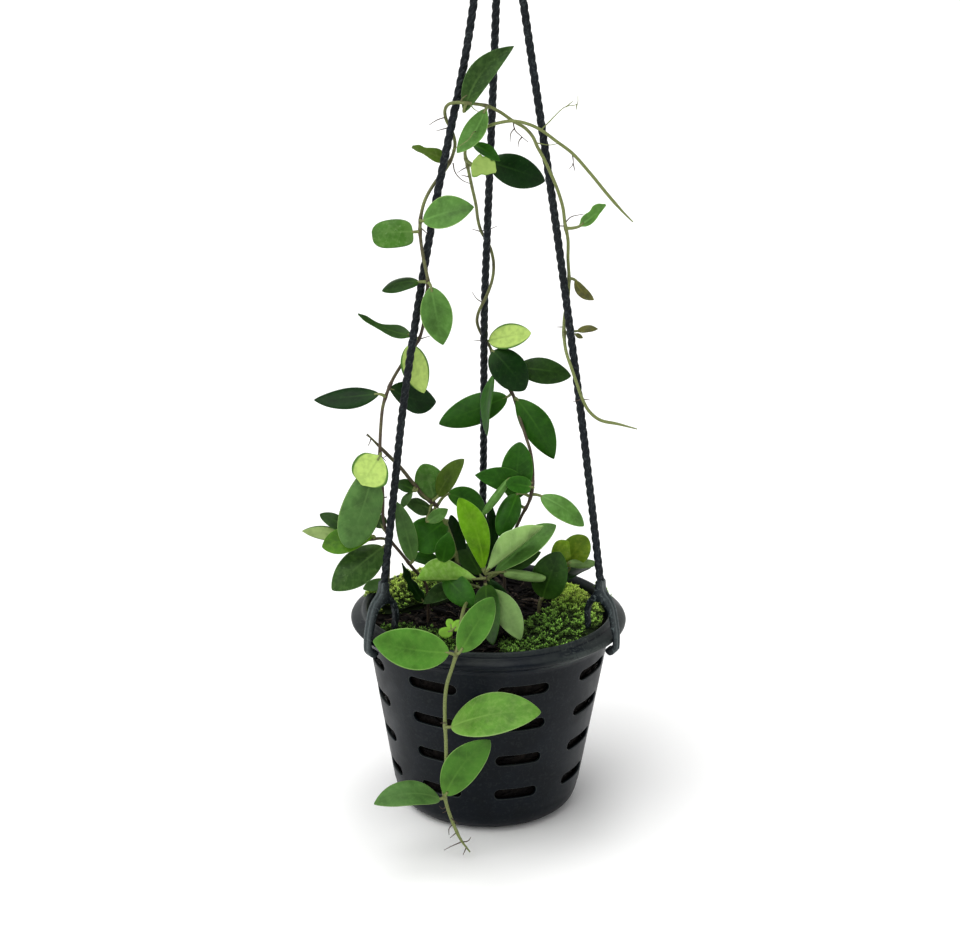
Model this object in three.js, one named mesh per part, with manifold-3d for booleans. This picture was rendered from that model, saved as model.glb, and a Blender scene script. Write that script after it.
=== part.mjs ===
// A hoya in a hanging basket: a slotted pot, its growing medium and moss, vines with thick opposite
// leaves, and a hanger of three twisted legs that clip on the rim and meet in one hook.
// Millimetres, +Z up, the front towards -Y. The origin is where the hook hangs.
import * as THREE from "three";
import { mergeVertices } from "three/addons/utils/BufferGeometryUtils.js";
import Module from "manifold-3d";

const wasm = await Module();
wasm.setup();

// Driving dimensions. Heights are above the surface that the pot would stand on.
const POT = {
  crestHeight: 113,
  crestRadius: 67.5,
  lipRadius: 75,
  lipHeight: 108,
  footRadius: 40.5,
  bodyFootRadius: 49.1,
  bodySpread: 0.171,
  bodyTop: 98,
  wall: 1.8,
  floorTop: 5,
};
const SLOT = { rows: 4, columns: 8, topRow: 89, rowStep: 21.4, height: 6.1, halfAngle: 0.225, turn: -31 };
const MEDIUM = { edgeHeight: 104, moundHeight: 108, moundRadius: 26, gap: 0.3, holeFloor: 94 };
const LEG = { thick: 4.4, clipRadius: 65.8, clipHeight: 140, meetHeight: 526, hubHeight: 497 };
const CLIP = { wide: 6.5, azimuths: { left: -60, right: 60, back: 180 } };
// How far each leg strays sideways from a straight line, as height and millimetres to the right.
const STRAY = {
  left: [
    [140, 0], [190, -2], [230, -3.6], [290, -3.6], [340, -2.3], [370, -0.6], [410, 1.6], [450, 1.7],
    [497, 0.8],
  ],
  right: [[140, 0], [190, 1], [230, 1.6], [330, 1.6], [390, 0.9], [440, 0.2], [497, 0]],
  back: [[140, 0], [190, -0.4], [270, -1.5], [310, -0.9], [370, 0.2], [420, 1], [450, 1.2], [497, 0.8]],
};
const HOOK = {
  hubRadius: 9.5,
  hubTop: 511,
  centreHeight: 531,
  bendRadius: 13.5,
  thick: 5.6,
  tipAngle: 205,
};
const LEAF = { thick: 1.3, petiole: 1.7 };
const STEM_STEP = 9;
const SEAT_GAP = 0.3;
const HANG_HEIGHT = HOOK.centreHeight + HOOK.bendRadius - HOOK.thick / 2;

// The photograph's viewpoint, from the pot's rim, slots and foot and the legs' directions: where the eye
// is, how it is turned and tilted, and how many picture points span its focal length.
const VIEW = {
  eye: [-66, -1100, 545.5],
  turn: 0.055,
  tilt: 0.31,
  lean: 0.0103,
  focal: 2164,
  centre: [480, 466],
};

// Finishes.
const LOOK = {
  pot: { color: 0x23272b, roughness: 0.5, metalness: 0 },
  hanger: { color: 0x17191c, roughness: 0.45, metalness: 0 },
  medium: { color: 0x2e2119, roughness: 0.95, metalness: 0 },
  moss: { color: 0x7a9a2c, roughness: 0.9, metalness: 0 },
  plant: { color: 0x3f7231, roughness: 0.42, metalness: 0 },
  weed: { color: 0x86b84a, roughness: 0.5, metalness: 0 },
};

// Closed solids from geometry, with shared points merged and faces turned outward.
function solid(geometry) {
  const bare = geometry.index ? geometry.clone() : geometry;
  bare.deleteAttribute("normal");
  bare.deleteAttribute("uv");
  const merged = mergeVertices(bare, 1e-4);
  const points = new Float32Array(merged.attributes.position.array);
  const faces = new Uint32Array(merged.index.array);
  if (signedVolume(points, faces) < 0) {
    for (let i = 0; i < faces.length; i += 3) {
      [faces[i + 1], faces[i + 2]] = [faces[i + 2], faces[i + 1]];
    }
  }
  return new wasm.Manifold(new wasm.Mesh({ numProp: 3, vertProperties: points, triVerts: faces }));
}

function signedVolume(points, faces) {
  const corner = (i) => new THREE.Vector3().fromArray(points, 3 * faces[i]);
  let sum = 0;
  for (let i = 0; i < faces.length; i += 3) {
    sum += corner(i).dot(corner(i + 1).cross(corner(i + 2)));
  }
  return sum;
}

function node(name, body, look) {
  const cut = body.getMesh();
  const geometry = new THREE.BufferGeometry();
  geometry.setAttribute("position", new THREE.BufferAttribute(new Float32Array(cut.vertProperties), 3));
  geometry.setIndex(new THREE.BufferAttribute(new Uint32Array(cut.triVerts), 1));
  geometry.computeVertexNormals();
  const mesh = new THREE.Mesh(geometry, new THREE.MeshStandardMaterial(look));
  mesh.name = name;
  return mesh;
}

function turned(profile, segments) {
  const points = profile.map(([r, z]) => new THREE.Vector2(r, z));
  return new THREE.LatheGeometry(points, segments).rotateX(Math.PI / 2);
}

function tube(curve, thick, sides, steps) {
  const section = new THREE.Shape();
  for (let k = 0; k < sides; k++) {
    const angle = (2 * Math.PI * k) / sides;
    const put = k === 0 ? "moveTo" : "lineTo";
    section[put]((thick / 2) * Math.cos(angle), (thick / 2) * Math.sin(angle));
  }
  section.closePath();
  return new THREE.ExtrudeGeometry(section, { steps, extrudePath: curve, bevelEnabled: false });
}

// Azimuth 0 is the front, and it grows towards the right hand.
function polar(radius, azimuth, z) {
  const a = THREE.MathUtils.degToRad(azimuth);
  return new THREE.Vector3(radius * Math.sin(a), -radius * Math.cos(a), z);
}

// Places geometry drawn with X outward, Y up and Z across, at an azimuth round the pot.
function standing(geometry, azimuth) {
  const outward = polar(1, azimuth, 0);
  const up = new THREE.Vector3(0, 0, 1);
  const across = new THREE.Vector3().crossVectors(outward, up);
  return geometry.applyMatrix4(new THREE.Matrix4().makeBasis(outward, up, across));
}

// The basket: a tapered pot with a rolled lip, slots all round and drain holes in its floor.
function bodyRadius(z) {
  return POT.bodyFootRadius + POT.bodySpread * z;
}

function potProfile() {
  const outer = [[0, 2], [POT.footRadius - 5, 2], [POT.footRadius - 4, 0], [POT.footRadius, 0]];
  const corner = 9;
  for (let k = 1; k <= 3; k++) {
    const angle = (k / 3) * (Math.PI / 2);
    const reach = bodyRadius(corner) - POT.footRadius;
    outer.push([POT.footRadius + reach * Math.sin(angle), corner * (1 - Math.cos(angle))]);
  }
  const lip = [
    [bodyRadius(POT.bodyTop), POT.bodyTop],
    [POT.crestRadius, 101.5],
    [POT.lipRadius - 1.6, 105.6],
    [POT.lipRadius, 106.8],
    [POT.lipRadius - 0.2, POT.lipHeight],
    [POT.crestRadius + 3, POT.crestHeight - 1.6],
    [POT.crestRadius + 0.6, POT.crestHeight],
    [POT.crestRadius - 0.9, POT.crestHeight - 0.6],
    [bodyRadius(POT.bodyTop) - POT.wall + 0.6, POT.lipHeight - 2],
  ];
  const inner = [
    [bodyRadius(POT.bodyTop) - POT.wall, POT.bodyTop],
    [bodyRadius(12) - POT.wall, 12],
    [POT.footRadius - 1, POT.floorTop],
    [0, POT.floorTop],
  ];
  return [...outer, ...lip, ...inner];
}

function slotCutter(row, azimuth) {
  const z = SLOT.topRow - SLOT.rowStep * row;
  const half = bodyRadius(z) * Math.sin(SLOT.halfAngle);
  const end = SLOT.height / 2;
  const shape = new THREE.Shape();
  shape.absarc(half - end, 0, end, -Math.PI / 2, Math.PI / 2);
  shape.absarc(end - half, 0, end, Math.PI / 2, (3 * Math.PI) / 2);
  const through = 30;
  const rod = { depth: through, bevelEnabled: false, curveSegments: 2 };
  const cutter = new THREE.ExtrudeGeometry(shape, rod);
  const across = polar(1, azimuth + 90, 0);
  const frame = new THREE.Matrix4().makeBasis(across, new THREE.Vector3(0, 0, 1), polar(1, azimuth, 0));
  frame.setPosition(polar(bodyRadius(z) - through / 2, azimuth, z));
  return solid(cutter.applyMatrix4(frame));
}

function drainCutter(radius, azimuth) {
  const hole = new THREE.CylinderGeometry(3.5, 3.5, 12, 8).rotateX(Math.PI / 2);
  const at = polar(radius, azimuth, POT.floorTop / 2);
  return solid(hole.translate(at.x, at.y, at.z));
}

function makePot() {
  let pot = solid(turned(potProfile(), 32));
  for (let row = 0; row < SLOT.rows; row++) {
    for (let column = 0; column < SLOT.columns; column++) {
      pot = pot.subtract(slotCutter(row, SLOT.turn + (column * 360) / SLOT.columns));
    }
  }
  pot = pot.subtract(drainCutter(0, 0));
  for (let k = 0; k < 6; k++) {
    pot = pot.subtract(drainCutter(24, 60 * k));
  }
  return pot;
}

// The growing medium fills the pot and stands a little proud in the middle. Each stem has a plain hole.
function makeMedium(rooted) {
  const inside = (z) => bodyRadius(z) - POT.wall - MEDIUM.gap;
  const profile = [
    [0, POT.floorTop + MEDIUM.gap],
    [POT.footRadius - 2, POT.floorTop + MEDIUM.gap],
    [inside(12) - 0.4, 13],
    [inside(POT.bodyTop), POT.bodyTop],
    [inside(POT.bodyTop), MEDIUM.edgeHeight],
    [MEDIUM.moundRadius, MEDIUM.edgeHeight],
    [MEDIUM.moundRadius * 0.7, MEDIUM.edgeHeight + 2.6],
    [MEDIUM.moundRadius * 0.3, MEDIUM.moundHeight - 0.3],
    [0, MEDIUM.moundHeight],
  ];
  let medium = solid(turned(profile, 32));
  for (const stem of rooted) {
    medium = medium.subtract(stemHole(stem));
  }
  return medium;
}

function stemHole({ thick, rooted }) {
  const deep = 30;
  const radius = thick / 2 + 0.8;
  const hole = new THREE.CylinderGeometry(radius, radius, deep, 8).rotateX(Math.PI / 2);
  return solid(hole.translate(rooted[0], rooted[1], MEDIUM.holeFloor + deep / 2));
}

// A moss cushion: a flat-bottomed patch between two azimuths, domed and gently lumpy.
const MOSS = [
  { name: "moss_right", from: 6, to: 142, inner: [30, 62.5], grow: 6.5, seed: 1 },
  { name: "moss_front_left", from: -76, to: -22, inner: [36, 62.5], grow: 5, seed: 2 },
  { name: "moss_back_left", from: -172, to: -100, inner: [34, 62.5], grow: 7, seed: 3 },
];

function makeMoss(patch, rooted) {
  const around = Math.round((patch.to - patch.from) / 11);
  const outward = 4;
  const floor = MEDIUM.edgeHeight + SEAT_GAP;
  const points = [];
  const faces = [];
  const lump = (u, v) => 1 + 0.14 * Math.sin(9 * u + 2.1 * patch.seed) * Math.cos(5 * v + patch.seed);
  for (let layer = 0; layer < 2; layer++) {
    for (let i = 0; i <= around; i++) {
      for (let j = 0; j <= outward; j++) {
        const u = i / around;
        const v = j / outward;
        const edge = Math.pow(Math.sin(Math.PI * (0.04 + 0.92 * u)), 0.4);
        const inner = patch.inner[1] + (patch.inner[0] - patch.inner[1]) * edge;
        const radius = inner * (1 - v) + patch.inner[1] * v;
        const dome = Math.pow(Math.sin(Math.PI * (0.06 + 0.86 * v)), 0.5) * edge * lump(u, v);
        const height = layer === 0 ? floor : floor + 0.8 + patch.grow * dome;
        const at = polar(radius, patch.from + (patch.to - patch.from) * u, height);
        points.push(at.x, at.y, at.z);
      }
    }
  }
  const size = (around + 1) * (outward + 1);
  const id = (layer, i, j) => layer * size + i * (outward + 1) + j;
  const quad = (a, b, c, d) => faces.push(a, b, c, a, c, d);
  for (let i = 0; i < around; i++) {
    for (let j = 0; j < outward; j++) {
      quad(id(1, i, j), id(1, i, j + 1), id(1, i + 1, j + 1), id(1, i + 1, j));
      quad(id(0, i, j), id(0, i + 1, j), id(0, i + 1, j + 1), id(0, i, j + 1));
    }
    quad(id(0, i, 0), id(1, i, 0), id(1, i + 1, 0), id(0, i + 1, 0));
    quad(id(0, i, outward), id(0, i + 1, outward), id(1, i + 1, outward), id(1, i, outward));
  }
  for (let j = 0; j < outward; j++) {
    quad(id(0, 0, j), id(0, 0, j + 1), id(1, 0, j + 1), id(1, 0, j));
    quad(id(0, around, j), id(1, around, j), id(1, around, j + 1), id(0, around, j + 1));
  }
  let cushion = solid(shell(points, faces));
  for (const azimuth of Object.values(CLIP.azimuths)) {
    const room = new THREE.BoxGeometry(12, 20, CLIP.wide + 2).translate(60.5, floor + 11.5, 0);
    cushion = cushion.subtract(solid(standing(room, azimuth)));
  }
  for (const stem of rooted) {
    cushion = cushion.subtract(stemHole(stem));
  }
  return cushion;
}

function shell(points, faces) {
  const geometry = new THREE.BufferGeometry();
  geometry.setAttribute("position", new THREE.Float32BufferAttribute(points, 3));
  geometry.setIndex(faces);
  return geometry;
}

// A clip: a moulded loop whose inner leg stands inside the rim, and whose outer leg comes down over the
// lip and hooks under it. The leg of the hanger grows out of its shoulder. Drawn as outward and up.
function makeClip(azimuth) {
  const outline = [
    [58.9, 110.8], [57.9, 116], [57.9, 121.4], [59.6, 127.6], [62.4, 132.4], [63.6, 139.6], [68, 139.9],
    [68.9, 134.6], [70.6, 130.4], [73.2, 124.6], [75.4, 117.6], [77.1, 110.6], [77.3, 102.2], [75.6, 99.4],
    [73.4, 98.6], [71.2, 100.2], [71, 102], [73.2, 102.6], [75.3, 104.8], [75.3, 109.2], [73.2, 113],
    [71.9, 118], [70.4, 123.6], [68.6, 126.8], [65.8, 128], [62.8, 126.6], [61, 123], [60.4, 118],
    [61.2, 111.4],
  ];
  const shape = new THREE.Shape(outline.map(([r, z]) => new THREE.Vector2(r, z)));
  const plate = new THREE.ExtrudeGeometry(shape, { depth: CLIP.wide, bevelEnabled: false });
  return solid(standing(plate.translate(0, 0, -CLIP.wide / 2), azimuth));
}

// A leg of the hanger, nearly straight from its clip's shoulder to the hub.
function makeLeg(side, azimuth) {
  const lean = LEG.clipRadius / (LEG.meetHeight - LEG.clipHeight);
  const ends = [LEG.clipHeight + SEAT_GAP, LEG.hubHeight - 2.5 * SEAT_GAP];
  const stops = STRAY[side].map(([z, stray], k) => {
    const height = k === 0 ? ends[0] : Math.min(z, ends[1]);
    return polar(lean * (LEG.meetHeight - height), azimuth, height).add(new THREE.Vector3(stray, 0, 0));
  });
  return solid(tube(new THREE.CatmullRomCurve3(stops), LEG.thick, 8, 16));
}

// The hub that the legs are moulded into, and the hook above it.
function makeHook() {
  const hub = [
    [0, LEG.hubHeight],
    [HOOK.hubRadius - 1, LEG.hubHeight],
    [HOOK.hubRadius, LEG.hubHeight + 1],
    [HOOK.hubRadius, HOOK.hubTop - 6],
    [HOOK.hubRadius * 0.75, HOOK.hubTop - 2],
    [HOOK.thick / 2 + 0.6, HOOK.hubTop],
    [0, HOOK.hubTop],
  ];
  const bend = (degrees) => {
    const a = THREE.MathUtils.degToRad(degrees);
    const reach = HOOK.bendRadius;
    return new THREE.Vector3(reach * Math.cos(a), 0, HOOK.centreHeight + reach * Math.sin(a));
  };
  const route = [new THREE.Vector3(0, 0, HOOK.hubTop - 4), new THREE.Vector3(1.2, 0, HOOK.hubTop + 1)];
  for (let degrees = -55; degrees <= HOOK.tipAngle; degrees += 20) {
    route.push(bend(degrees));
  }
  const wire = tube(new THREE.CatmullRomCurve3(route), HOOK.thick, 8, 17);
  return solid(turned(hub, 16)).add(solid(wire));
}

// A point of the picture, at a distance in front of the pot's axis, as a point of the object.
function seen([x, y, forward]) {
  const across = new THREE.Vector3(Math.cos(VIEW.turn), -Math.sin(VIEW.turn), 0);
  const level = new THREE.Vector3(Math.sin(VIEW.turn), Math.cos(VIEW.turn), 0);
  const ahead = level.multiplyScalar(Math.cos(VIEW.tilt));
  ahead.z = -Math.sin(VIEW.tilt);
  const right = across.applyAxisAngle(ahead, -VIEW.lean);
  const up = new THREE.Vector3().crossVectors(right, ahead);
  const ray = ahead.clone();
  ray.addScaledVector(right, (x - VIEW.centre[0]) / VIEW.focal);
  ray.addScaledVector(up, (VIEW.centre[1] - y) / VIEW.focal);
  const eye = new THREE.Vector3(...VIEW.eye);
  return eye.addScaledVector(ray, (-forward - eye.y) / ray.y);
}

// A leaf: a thick blade from its base to its tip, folded along its midrib. turn rolls it about its
// length, and at 0 its upper face looks at the viewer. In millimetres, arch lifts its middle, cup lifts
// its edges and bow bends it sideways, to the right of the way it points when seen from above its face.
// blunt rounds its ends, and peak says how far along it is widest.
function makeLeaf(leaf, stems) {
  const { base, tip, wide, turn = 0, arch = 0, cup = 0, bow = 0, blunt = 0.7, peak = 0.47 } = leaf;
  const bulge = Math.log(0.5) / Math.log(peak);
  const foot = seen(base);
  const along = seen(tip).sub(foot);
  const length = along.length();
  along.normalize();
  const viewer = new THREE.Vector3(...VIEW.eye).sub(foot);
  viewer.addScaledVector(along, -viewer.dot(along)).normalize();
  const upper = viewer.applyAxisAngle(along, THREE.MathUtils.degToRad(turn));
  const side = new THREE.Vector3().crossVectors(along, upper);
  const sections = [stalkRoot(foot, along, upper, stems)];
  const rows = wide > 14 ? 5 : 4;
  for (let i = 0; i <= rows; i++) {
    const t = (1 - Math.cos((Math.PI * i) / rows)) / 2;
    const body = (wide / 2) * Math.pow(Math.sin(Math.PI * Math.pow(t, bulge)), blunt);
    const half = Math.max(body, i === 0 ? LEAF.petiole / 2 : 0.6);
    const middle = foot.clone().addScaledVector(along, length * t);
    middle.addScaledVector(side, bow * 4 * t * (1 - t));
    middle.addScaledVector(upper, arch * 4 * t * (1 - t));
    sections.push({ middle, side, upper, half, lift: (cup * 2 * half) / wide });
  }
  return solid(lofted(sections, wide > 8.5 ? 2 : 1));
}

// Where a leaf's stalk leaves its stem: the place nearest to the blade's foot, a little sunk.
function stalkRoot(foot, along, upper, stems) {
  const middle = nearestOn(stems, foot);
  const way = foot.clone().sub(middle).normalize();
  const side = new THREE.Vector3().crossVectors(way, upper);
  if (side.length() < 0.35) {
    side.crossVectors(along, upper);
  }
  side.addScaledVector(way, -side.dot(way)).normalize();
  const rootUpper = new THREE.Vector3().crossVectors(side, way);
  return { middle, side, upper: rootUpper, half: LEAF.petiole / 2, lift: 0 };
}

function nearestOn(stems, foot) {
  const nearest = new THREE.Vector3(Infinity, 0, 0);
  const at = new THREE.Vector3();
  for (const points of stems) {
    for (let k = 1; k < points.length; k++) {
      new THREE.Line3(points[k - 1], points[k]).closestPointToPoint(foot, true, at);
      if (at.distanceTo(foot) < nearest.distanceTo(foot)) {
        nearest.copy(at);
      }
    }
  }
  return nearest;
}

// A strip of even thickness through cross sections, with its edges lifted.
function lofted(sections, columns) {
  const points = [];
  for (const face of [LEAF.thick / 2, -LEAF.thick / 2]) {
    for (const { middle, side, upper, half, lift } of sections) {
      for (let j = 0; j <= columns; j++) {
        const q = (2 * j) / columns - 1;
        const at = middle.clone().addScaledVector(side, q * half);
        at.addScaledVector(upper, lift * q * q + face);
        points.push(at.x, at.y, at.z);
      }
    }
  }
  const row = columns + 1;
  const size = row * sections.length;
  const faces = [];
  const quad = (a, b, c, d) => faces.push(a, b, c, a, c, d);
  for (let k = 0; k < size - row; k += row) {
    for (let j = k; j < k + columns; j++) {
      quad(j, j + 1, j + row + 1, j + row);
      faces.push(size + j, size + j + row + 1, size + j + 1, size + j, size + j + row, size + j + row + 1);
    }
    quad(k, k + row, size + k + row, size + k);
    quad(k + columns, size + k + columns, size + k + row + columns, k + row + columns);
  }
  const last = size - row;
  for (let j = 0; j < columns; j++) {
    quad(j, size + j, size + j + 1, j + 1);
    quad(last + j, last + j + 1, size + last + j + 1, size + last + j);
  }
  return shell(points, faces);
}

// A leafy stem: it stands in its hole, follows its route and carries its leaves. Routes, bases and tips
// are picture points, each with its distance in front of the pot's axis in millimetres.
function makeStem({ thick, rooted, route, twigs = [], leaves }) {
  const [x, y] = rooted;
  const start = [MEDIUM.holeFloor + SEAT_GAP, 98, 102, 106.5].map((z) => new THREE.Vector3(x, y, z));
  const lines = [[...start, ...route.map(seen)], ...twigs.map((twig) => twig.map(seen))];
  const stems = [];
  const pieces = lines.map((line, k) => {
    const curve = new THREE.CatmullRomCurve3(line);
    const steps = Math.round(curve.getLength() / STEM_STEP);
    stems.push(curve.getSpacedPoints(steps));
    return solid(tube(curve, k === 0 ? thick : 0.85 * thick, 5, steps));
  });
  for (const leaf of leaves) {
    pieces.push(makeLeaf(leaf, stems));
  }
  return pieces.reduce((body, piece) => body.add(piece));
}

const STEMS = [
  {
    // The longest vine climbs the left leg, arches over the top and comes down the right leg.
    name: "vine_left",
    thick: 2,
    rooted: [-33, -2],
    route: [
      [426, 585, 6], [412, 567, 14], [400, 552, 21], [391, 541, 23], [386, 530, 27], [383, 516, 31],
      [383, 500, 31], [382, 480, 31], [380, 455, 31], [381, 424, 30], [383, 406, 28], [387, 393, 24],
      [393, 379, 19], [402, 364, 14], [411, 350, 14], [419, 339, 16], [423, 326, 17.5], [425, 309, 17],
      [426, 296, 20], [428, 282, 25], [425, 266, 25], [422, 250, 22], [420, 226, 19], [424, 203, 16],
      [434, 184, 11.5], [445, 170, 9.5], [452, 157, 9], [455, 144, 8.5], [452, 131, 7.5], [446, 119, 9],
      [445, 110, 12], [449, 104, 16], [456, 102.5, 17.5], [466, 103, 17], [487, 106, 14], [500, 112, 13],
      [513, 121, 12], [525, 128, 13.5], [533, 137, 17], [537, 146, 19.5], [543, 157, 20.5],
      [551, 174, 20.5], [558, 191, 20], [563, 208, 19], [565, 224, 18], [568, 240, 17], [568, 259, 15.5],
      [569, 277, 14.5], [568, 298, 15.5], [564.5, 317, 16.5], [564, 334, 18], [566, 351, 24],
      [571.5, 368, 29], [577, 384, 31.5], [582, 398, 32], [589, 411, 31], [600, 420, 30], [618, 424, 30],
      [637, 429, 30],
    ],
    twigs: [
      [[391, 543, 23], [383, 538.5, 25], [366, 541, 27], [352, 548, 28]],
      [[461, 103.2, 17.2], [462, 99, 18], [467, 95, 17]],
    ],
    leaves: [
      { base: [464, 112, 15.5], tip: [514, 46, 12], wide: 12.5, turn: -8, arch: 1, cup: 2.5, bow: -4.5 },
      { base: [486, 109, 15], tip: [457, 153, 20], wide: 13, turn: 35, arch: -3, cup: 1 },
      { base: [446, 161, 7], tip: [412, 147, 4], wide: 10, turn: 45, arch: 1, cup: -2 },
      { base: [423, 221, 21], tip: [474, 207, 27], wide: 17.5, turn: -25, arch: 2, cup: 1.5 },
      { base: [413, 232, 20], tip: [372, 236, 22], wide: 15.5, turn: 20, arch: 2, cup: -1.5, blunt: 0.22 },
      { base: [419, 282, 24], tip: [382, 291, 22], wide: 12, turn: 55, arch: 2, cup: -1, blunt: 0.6 },
      { base: [431, 287, 28], tip: [443, 345, 30], wide: 16.5, turn: -8, arch: -2, cup: 1.5 },
      { base: [412, 336, 16], tip: [358, 314, 12], wide: 11, turn: 66, arch: -2.5, cup: 1 },
      {
        base: [409, 345, 18.5], tip: [424, 393, 17], wide: 14.5,
        turn: 170, arch: 1, cup: 1.5, blunt: 0.6,
      },
      { base: [379, 394, 27], tip: [314, 400, 22], wide: 16.5, turn: 50, arch: -0.5, cup: -1 },
      { base: [390, 389, 18], tip: [436, 402, 3], wide: 17, turn: -25, arch: 0, cup: 2, bow: 2 },
      {
        base: [383, 458, 34], tip: [357, 478, 35], wide: 20,
        turn: 178, arch: 1, cup: -1, bow: 1, blunt: 0.5,
      },
      {
        base: [376, 463, 28], tip: [345, 549, 36], wide: 22,
        turn: -10, arch: 4, cup: -2, blunt: 0.42, peak: 0.58,
      },
      { base: [350, 533, 24], tip: [320, 514, 17], wide: 9, turn: 30, arch: 2, blunt: 0.5 },
      { base: [347, 538, 22], tip: [302, 531, 20], wide: 8, turn: 165, arch: 2, cup: 1 },
      { base: [357, 533, 26], tip: [322, 549, 30], wide: 15, turn: 30, arch: 2, cup: 1, blunt: 0.6 },
      { base: [383, 547, 22], tip: [332, 590, 35], wide: 19, turn: 12, arch: 3, cup: -2, blunt: 0.6 },
      { base: [383, 528, 24], tip: [374, 514, 18], wide: 9, turn: 20 },
      { base: [413, 561, 16.5], tip: [397, 502, 25.5], wide: 10.5, turn: 12, arch: 2, cup: 1, blunt: 0.6 },
      { base: [388, 577, 12], tip: [362, 590, 18], wide: 9.5, turn: 20, arch: 1, cup: 1 },
      { base: [581, 225, 19], tip: [604, 206, 22], wide: 8.5, turn: -40, arch: -1, cup: 3 },
      { base: [575, 280, 15], tip: [594, 300, 16], wide: 6.5, turn: 30, arch: 2, cup: 1 },
      { base: [577, 331, 17], tip: [598, 329, 18], wide: 5, turn: -40, arch: 1 },
      { base: [575, 334, 16], tip: [583, 338, 15], wide: 2.5, turn: 0 },
    ],
  },
  {
    // The second vine climbs the back leg, winding round it, and leans out at the top.
    name: "vine_middle",
    thick: 2,
    rooted: [10, 12],
    route: [
      [505, 562, -12], [512, 538, -11], [521, 517, -9], [530, 499, -8], [533, 478, -13], [531, 454, -20],
      [525, 434, -28], [518, 412, -38], [514, 397, -43], [505, 382, -46], [497, 368, -47], [493, 356, -50],
      [489.5, 346, -52.5], [484, 338, -52.5], [480, 331, -50.5], [477, 321, -45.5], [479, 311, -41.5],
      [484, 301, -39.5], [489, 290, -38], [493, 276, -39], [493.5, 262, -42], [491, 250, -43.5],
      [487, 241, -43.5], [481.5, 232, -41], [478, 220, -34], [476, 205, -26], [472, 187, -18],
      [468, 168, -8], [465, 153, 0], [467, 142, 5], [475, 132, 8], [486, 127, 11], [498, 123, 16],
      [513, 121, 18], [528, 124, 18.5], [541, 130, 19], [556, 141, 19], [572, 153, 19], [590, 173, 20],
      [608, 195, 21], [623, 212, 22], [633, 222, 22],
    ],
    leaves: [
      { base: [475, 143, 3], tip: [500, 161, 10], wide: 7, turn: -50, arch: 2, cup: 2 },
      { base: [474, 162, 0], tip: [494, 175, 2], wide: 13, turn: 160, arch: -1, cup: -2, blunt: 0.4 },
      { base: [489, 162, -6], tip: [545, 181, -12], wide: 17, turn: -12, arch: 2, cup: -2, blunt: 0.6 },
      { base: [494, 341, -47], tip: [532, 333, -42], wide: 14, turn: 160, arch: -1, cup: -1, blunt: 0.55 },
      { base: [493, 351, -43], tip: [525, 390, -36], wide: 19.5, turn: -12, arch: 3, cup: -1, blunt: 0.5 },
      { base: [516, 368, -48], tip: [571, 376, -48], wide: 15, turn: -18, arch: 3, cup: -1, blunt: 0.6 },
      { base: [494, 374, -41], tip: [487, 436, -36], wide: 12, turn: 60, arch: 2, cup: 1 },
      { base: [507, 397, -58], tip: [439, 424, -67], wide: 17, turn: 0, arch: 1, cup: -2, blunt: 0.6 },
      { base: [517, 399, -39], tip: [554, 459, -30], wide: 16.5, turn: 10, arch: 3, cup: -1, bow: -2 },
      { base: [514, 499, -13], tip: [520, 442, -22], wide: 17.5, turn: 0, arch: 3, cup: 1, blunt: 0.5 },
      { base: [541, 496, -8], tip: [584, 526, 0], wide: 13.5, turn: -30, arch: 3, cup: -1, blunt: 0.6 },
      { base: [508, 476, -5], tip: [484, 514, 8], wide: 6, turn: 15, arch: 1, blunt: 0.35 },
      { base: [528, 490, -6], tip: [506, 482, -3], wide: 9, turn: 10, arch: 1, cup: 1, blunt: 0.5 },
      { base: [517, 497, -4], tip: [496, 535, 4], wide: 13, turn: -10, arch: 2, cup: -2 },
      { base: [521, 488, -16], tip: [475, 478, -12], wide: 13.5, turn: 10, arch: 2, cup: 1 },
    ],
  },
  {
    // The trailing stem leans over the front of the rim and hangs down in front of the pot.
    name: "stem_trailing",
    thick: 2.3,
    rooted: [-12, -20],
    route: [
      [467, 613, 33], [463, 606, 43], [461, 615, 56], [460, 632, 69], [457, 651, 79], [452, 668, 82],
      [447, 684, 82], [445, 700, 82], [445, 722, 82], [446, 745, 82], [446, 768, 82], [444, 790, 81],
      [447, 806, 80], [453, 823, 79], [461, 840, 79], [470, 852, 79],
    ],
    leaves: [
      { base: [460, 652, 82], tip: [494, 597, 76], wide: 17, turn: 5, arch: -2, cup: 1.5, blunt: 0.6 },
      {
        base: [449, 653, 82], tip: [373, 641, 86], wide: 21.5,
        turn: 14, arch: 1, cup: 1.5, bow: -1.5, blunt: 0.6,
      },
      { base: [451, 727, 84], tip: [541, 712, 90], wide: 26, turn: -33, arch: 5, cup: 1, blunt: 0.6 },
      {
        base: [445, 795, 83], tip: [490, 740, 88], wide: 18.5,
        turn: 12, arch: -2, cup: 1.5, bow: -2.4, blunt: 0.6,
      },
      { base: [440, 799, 82], tip: [374, 804, 88], wide: 18, turn: 42, arch: 5.5, cup: 1, blunt: 0.6 },
    ],
  },
  {
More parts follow.
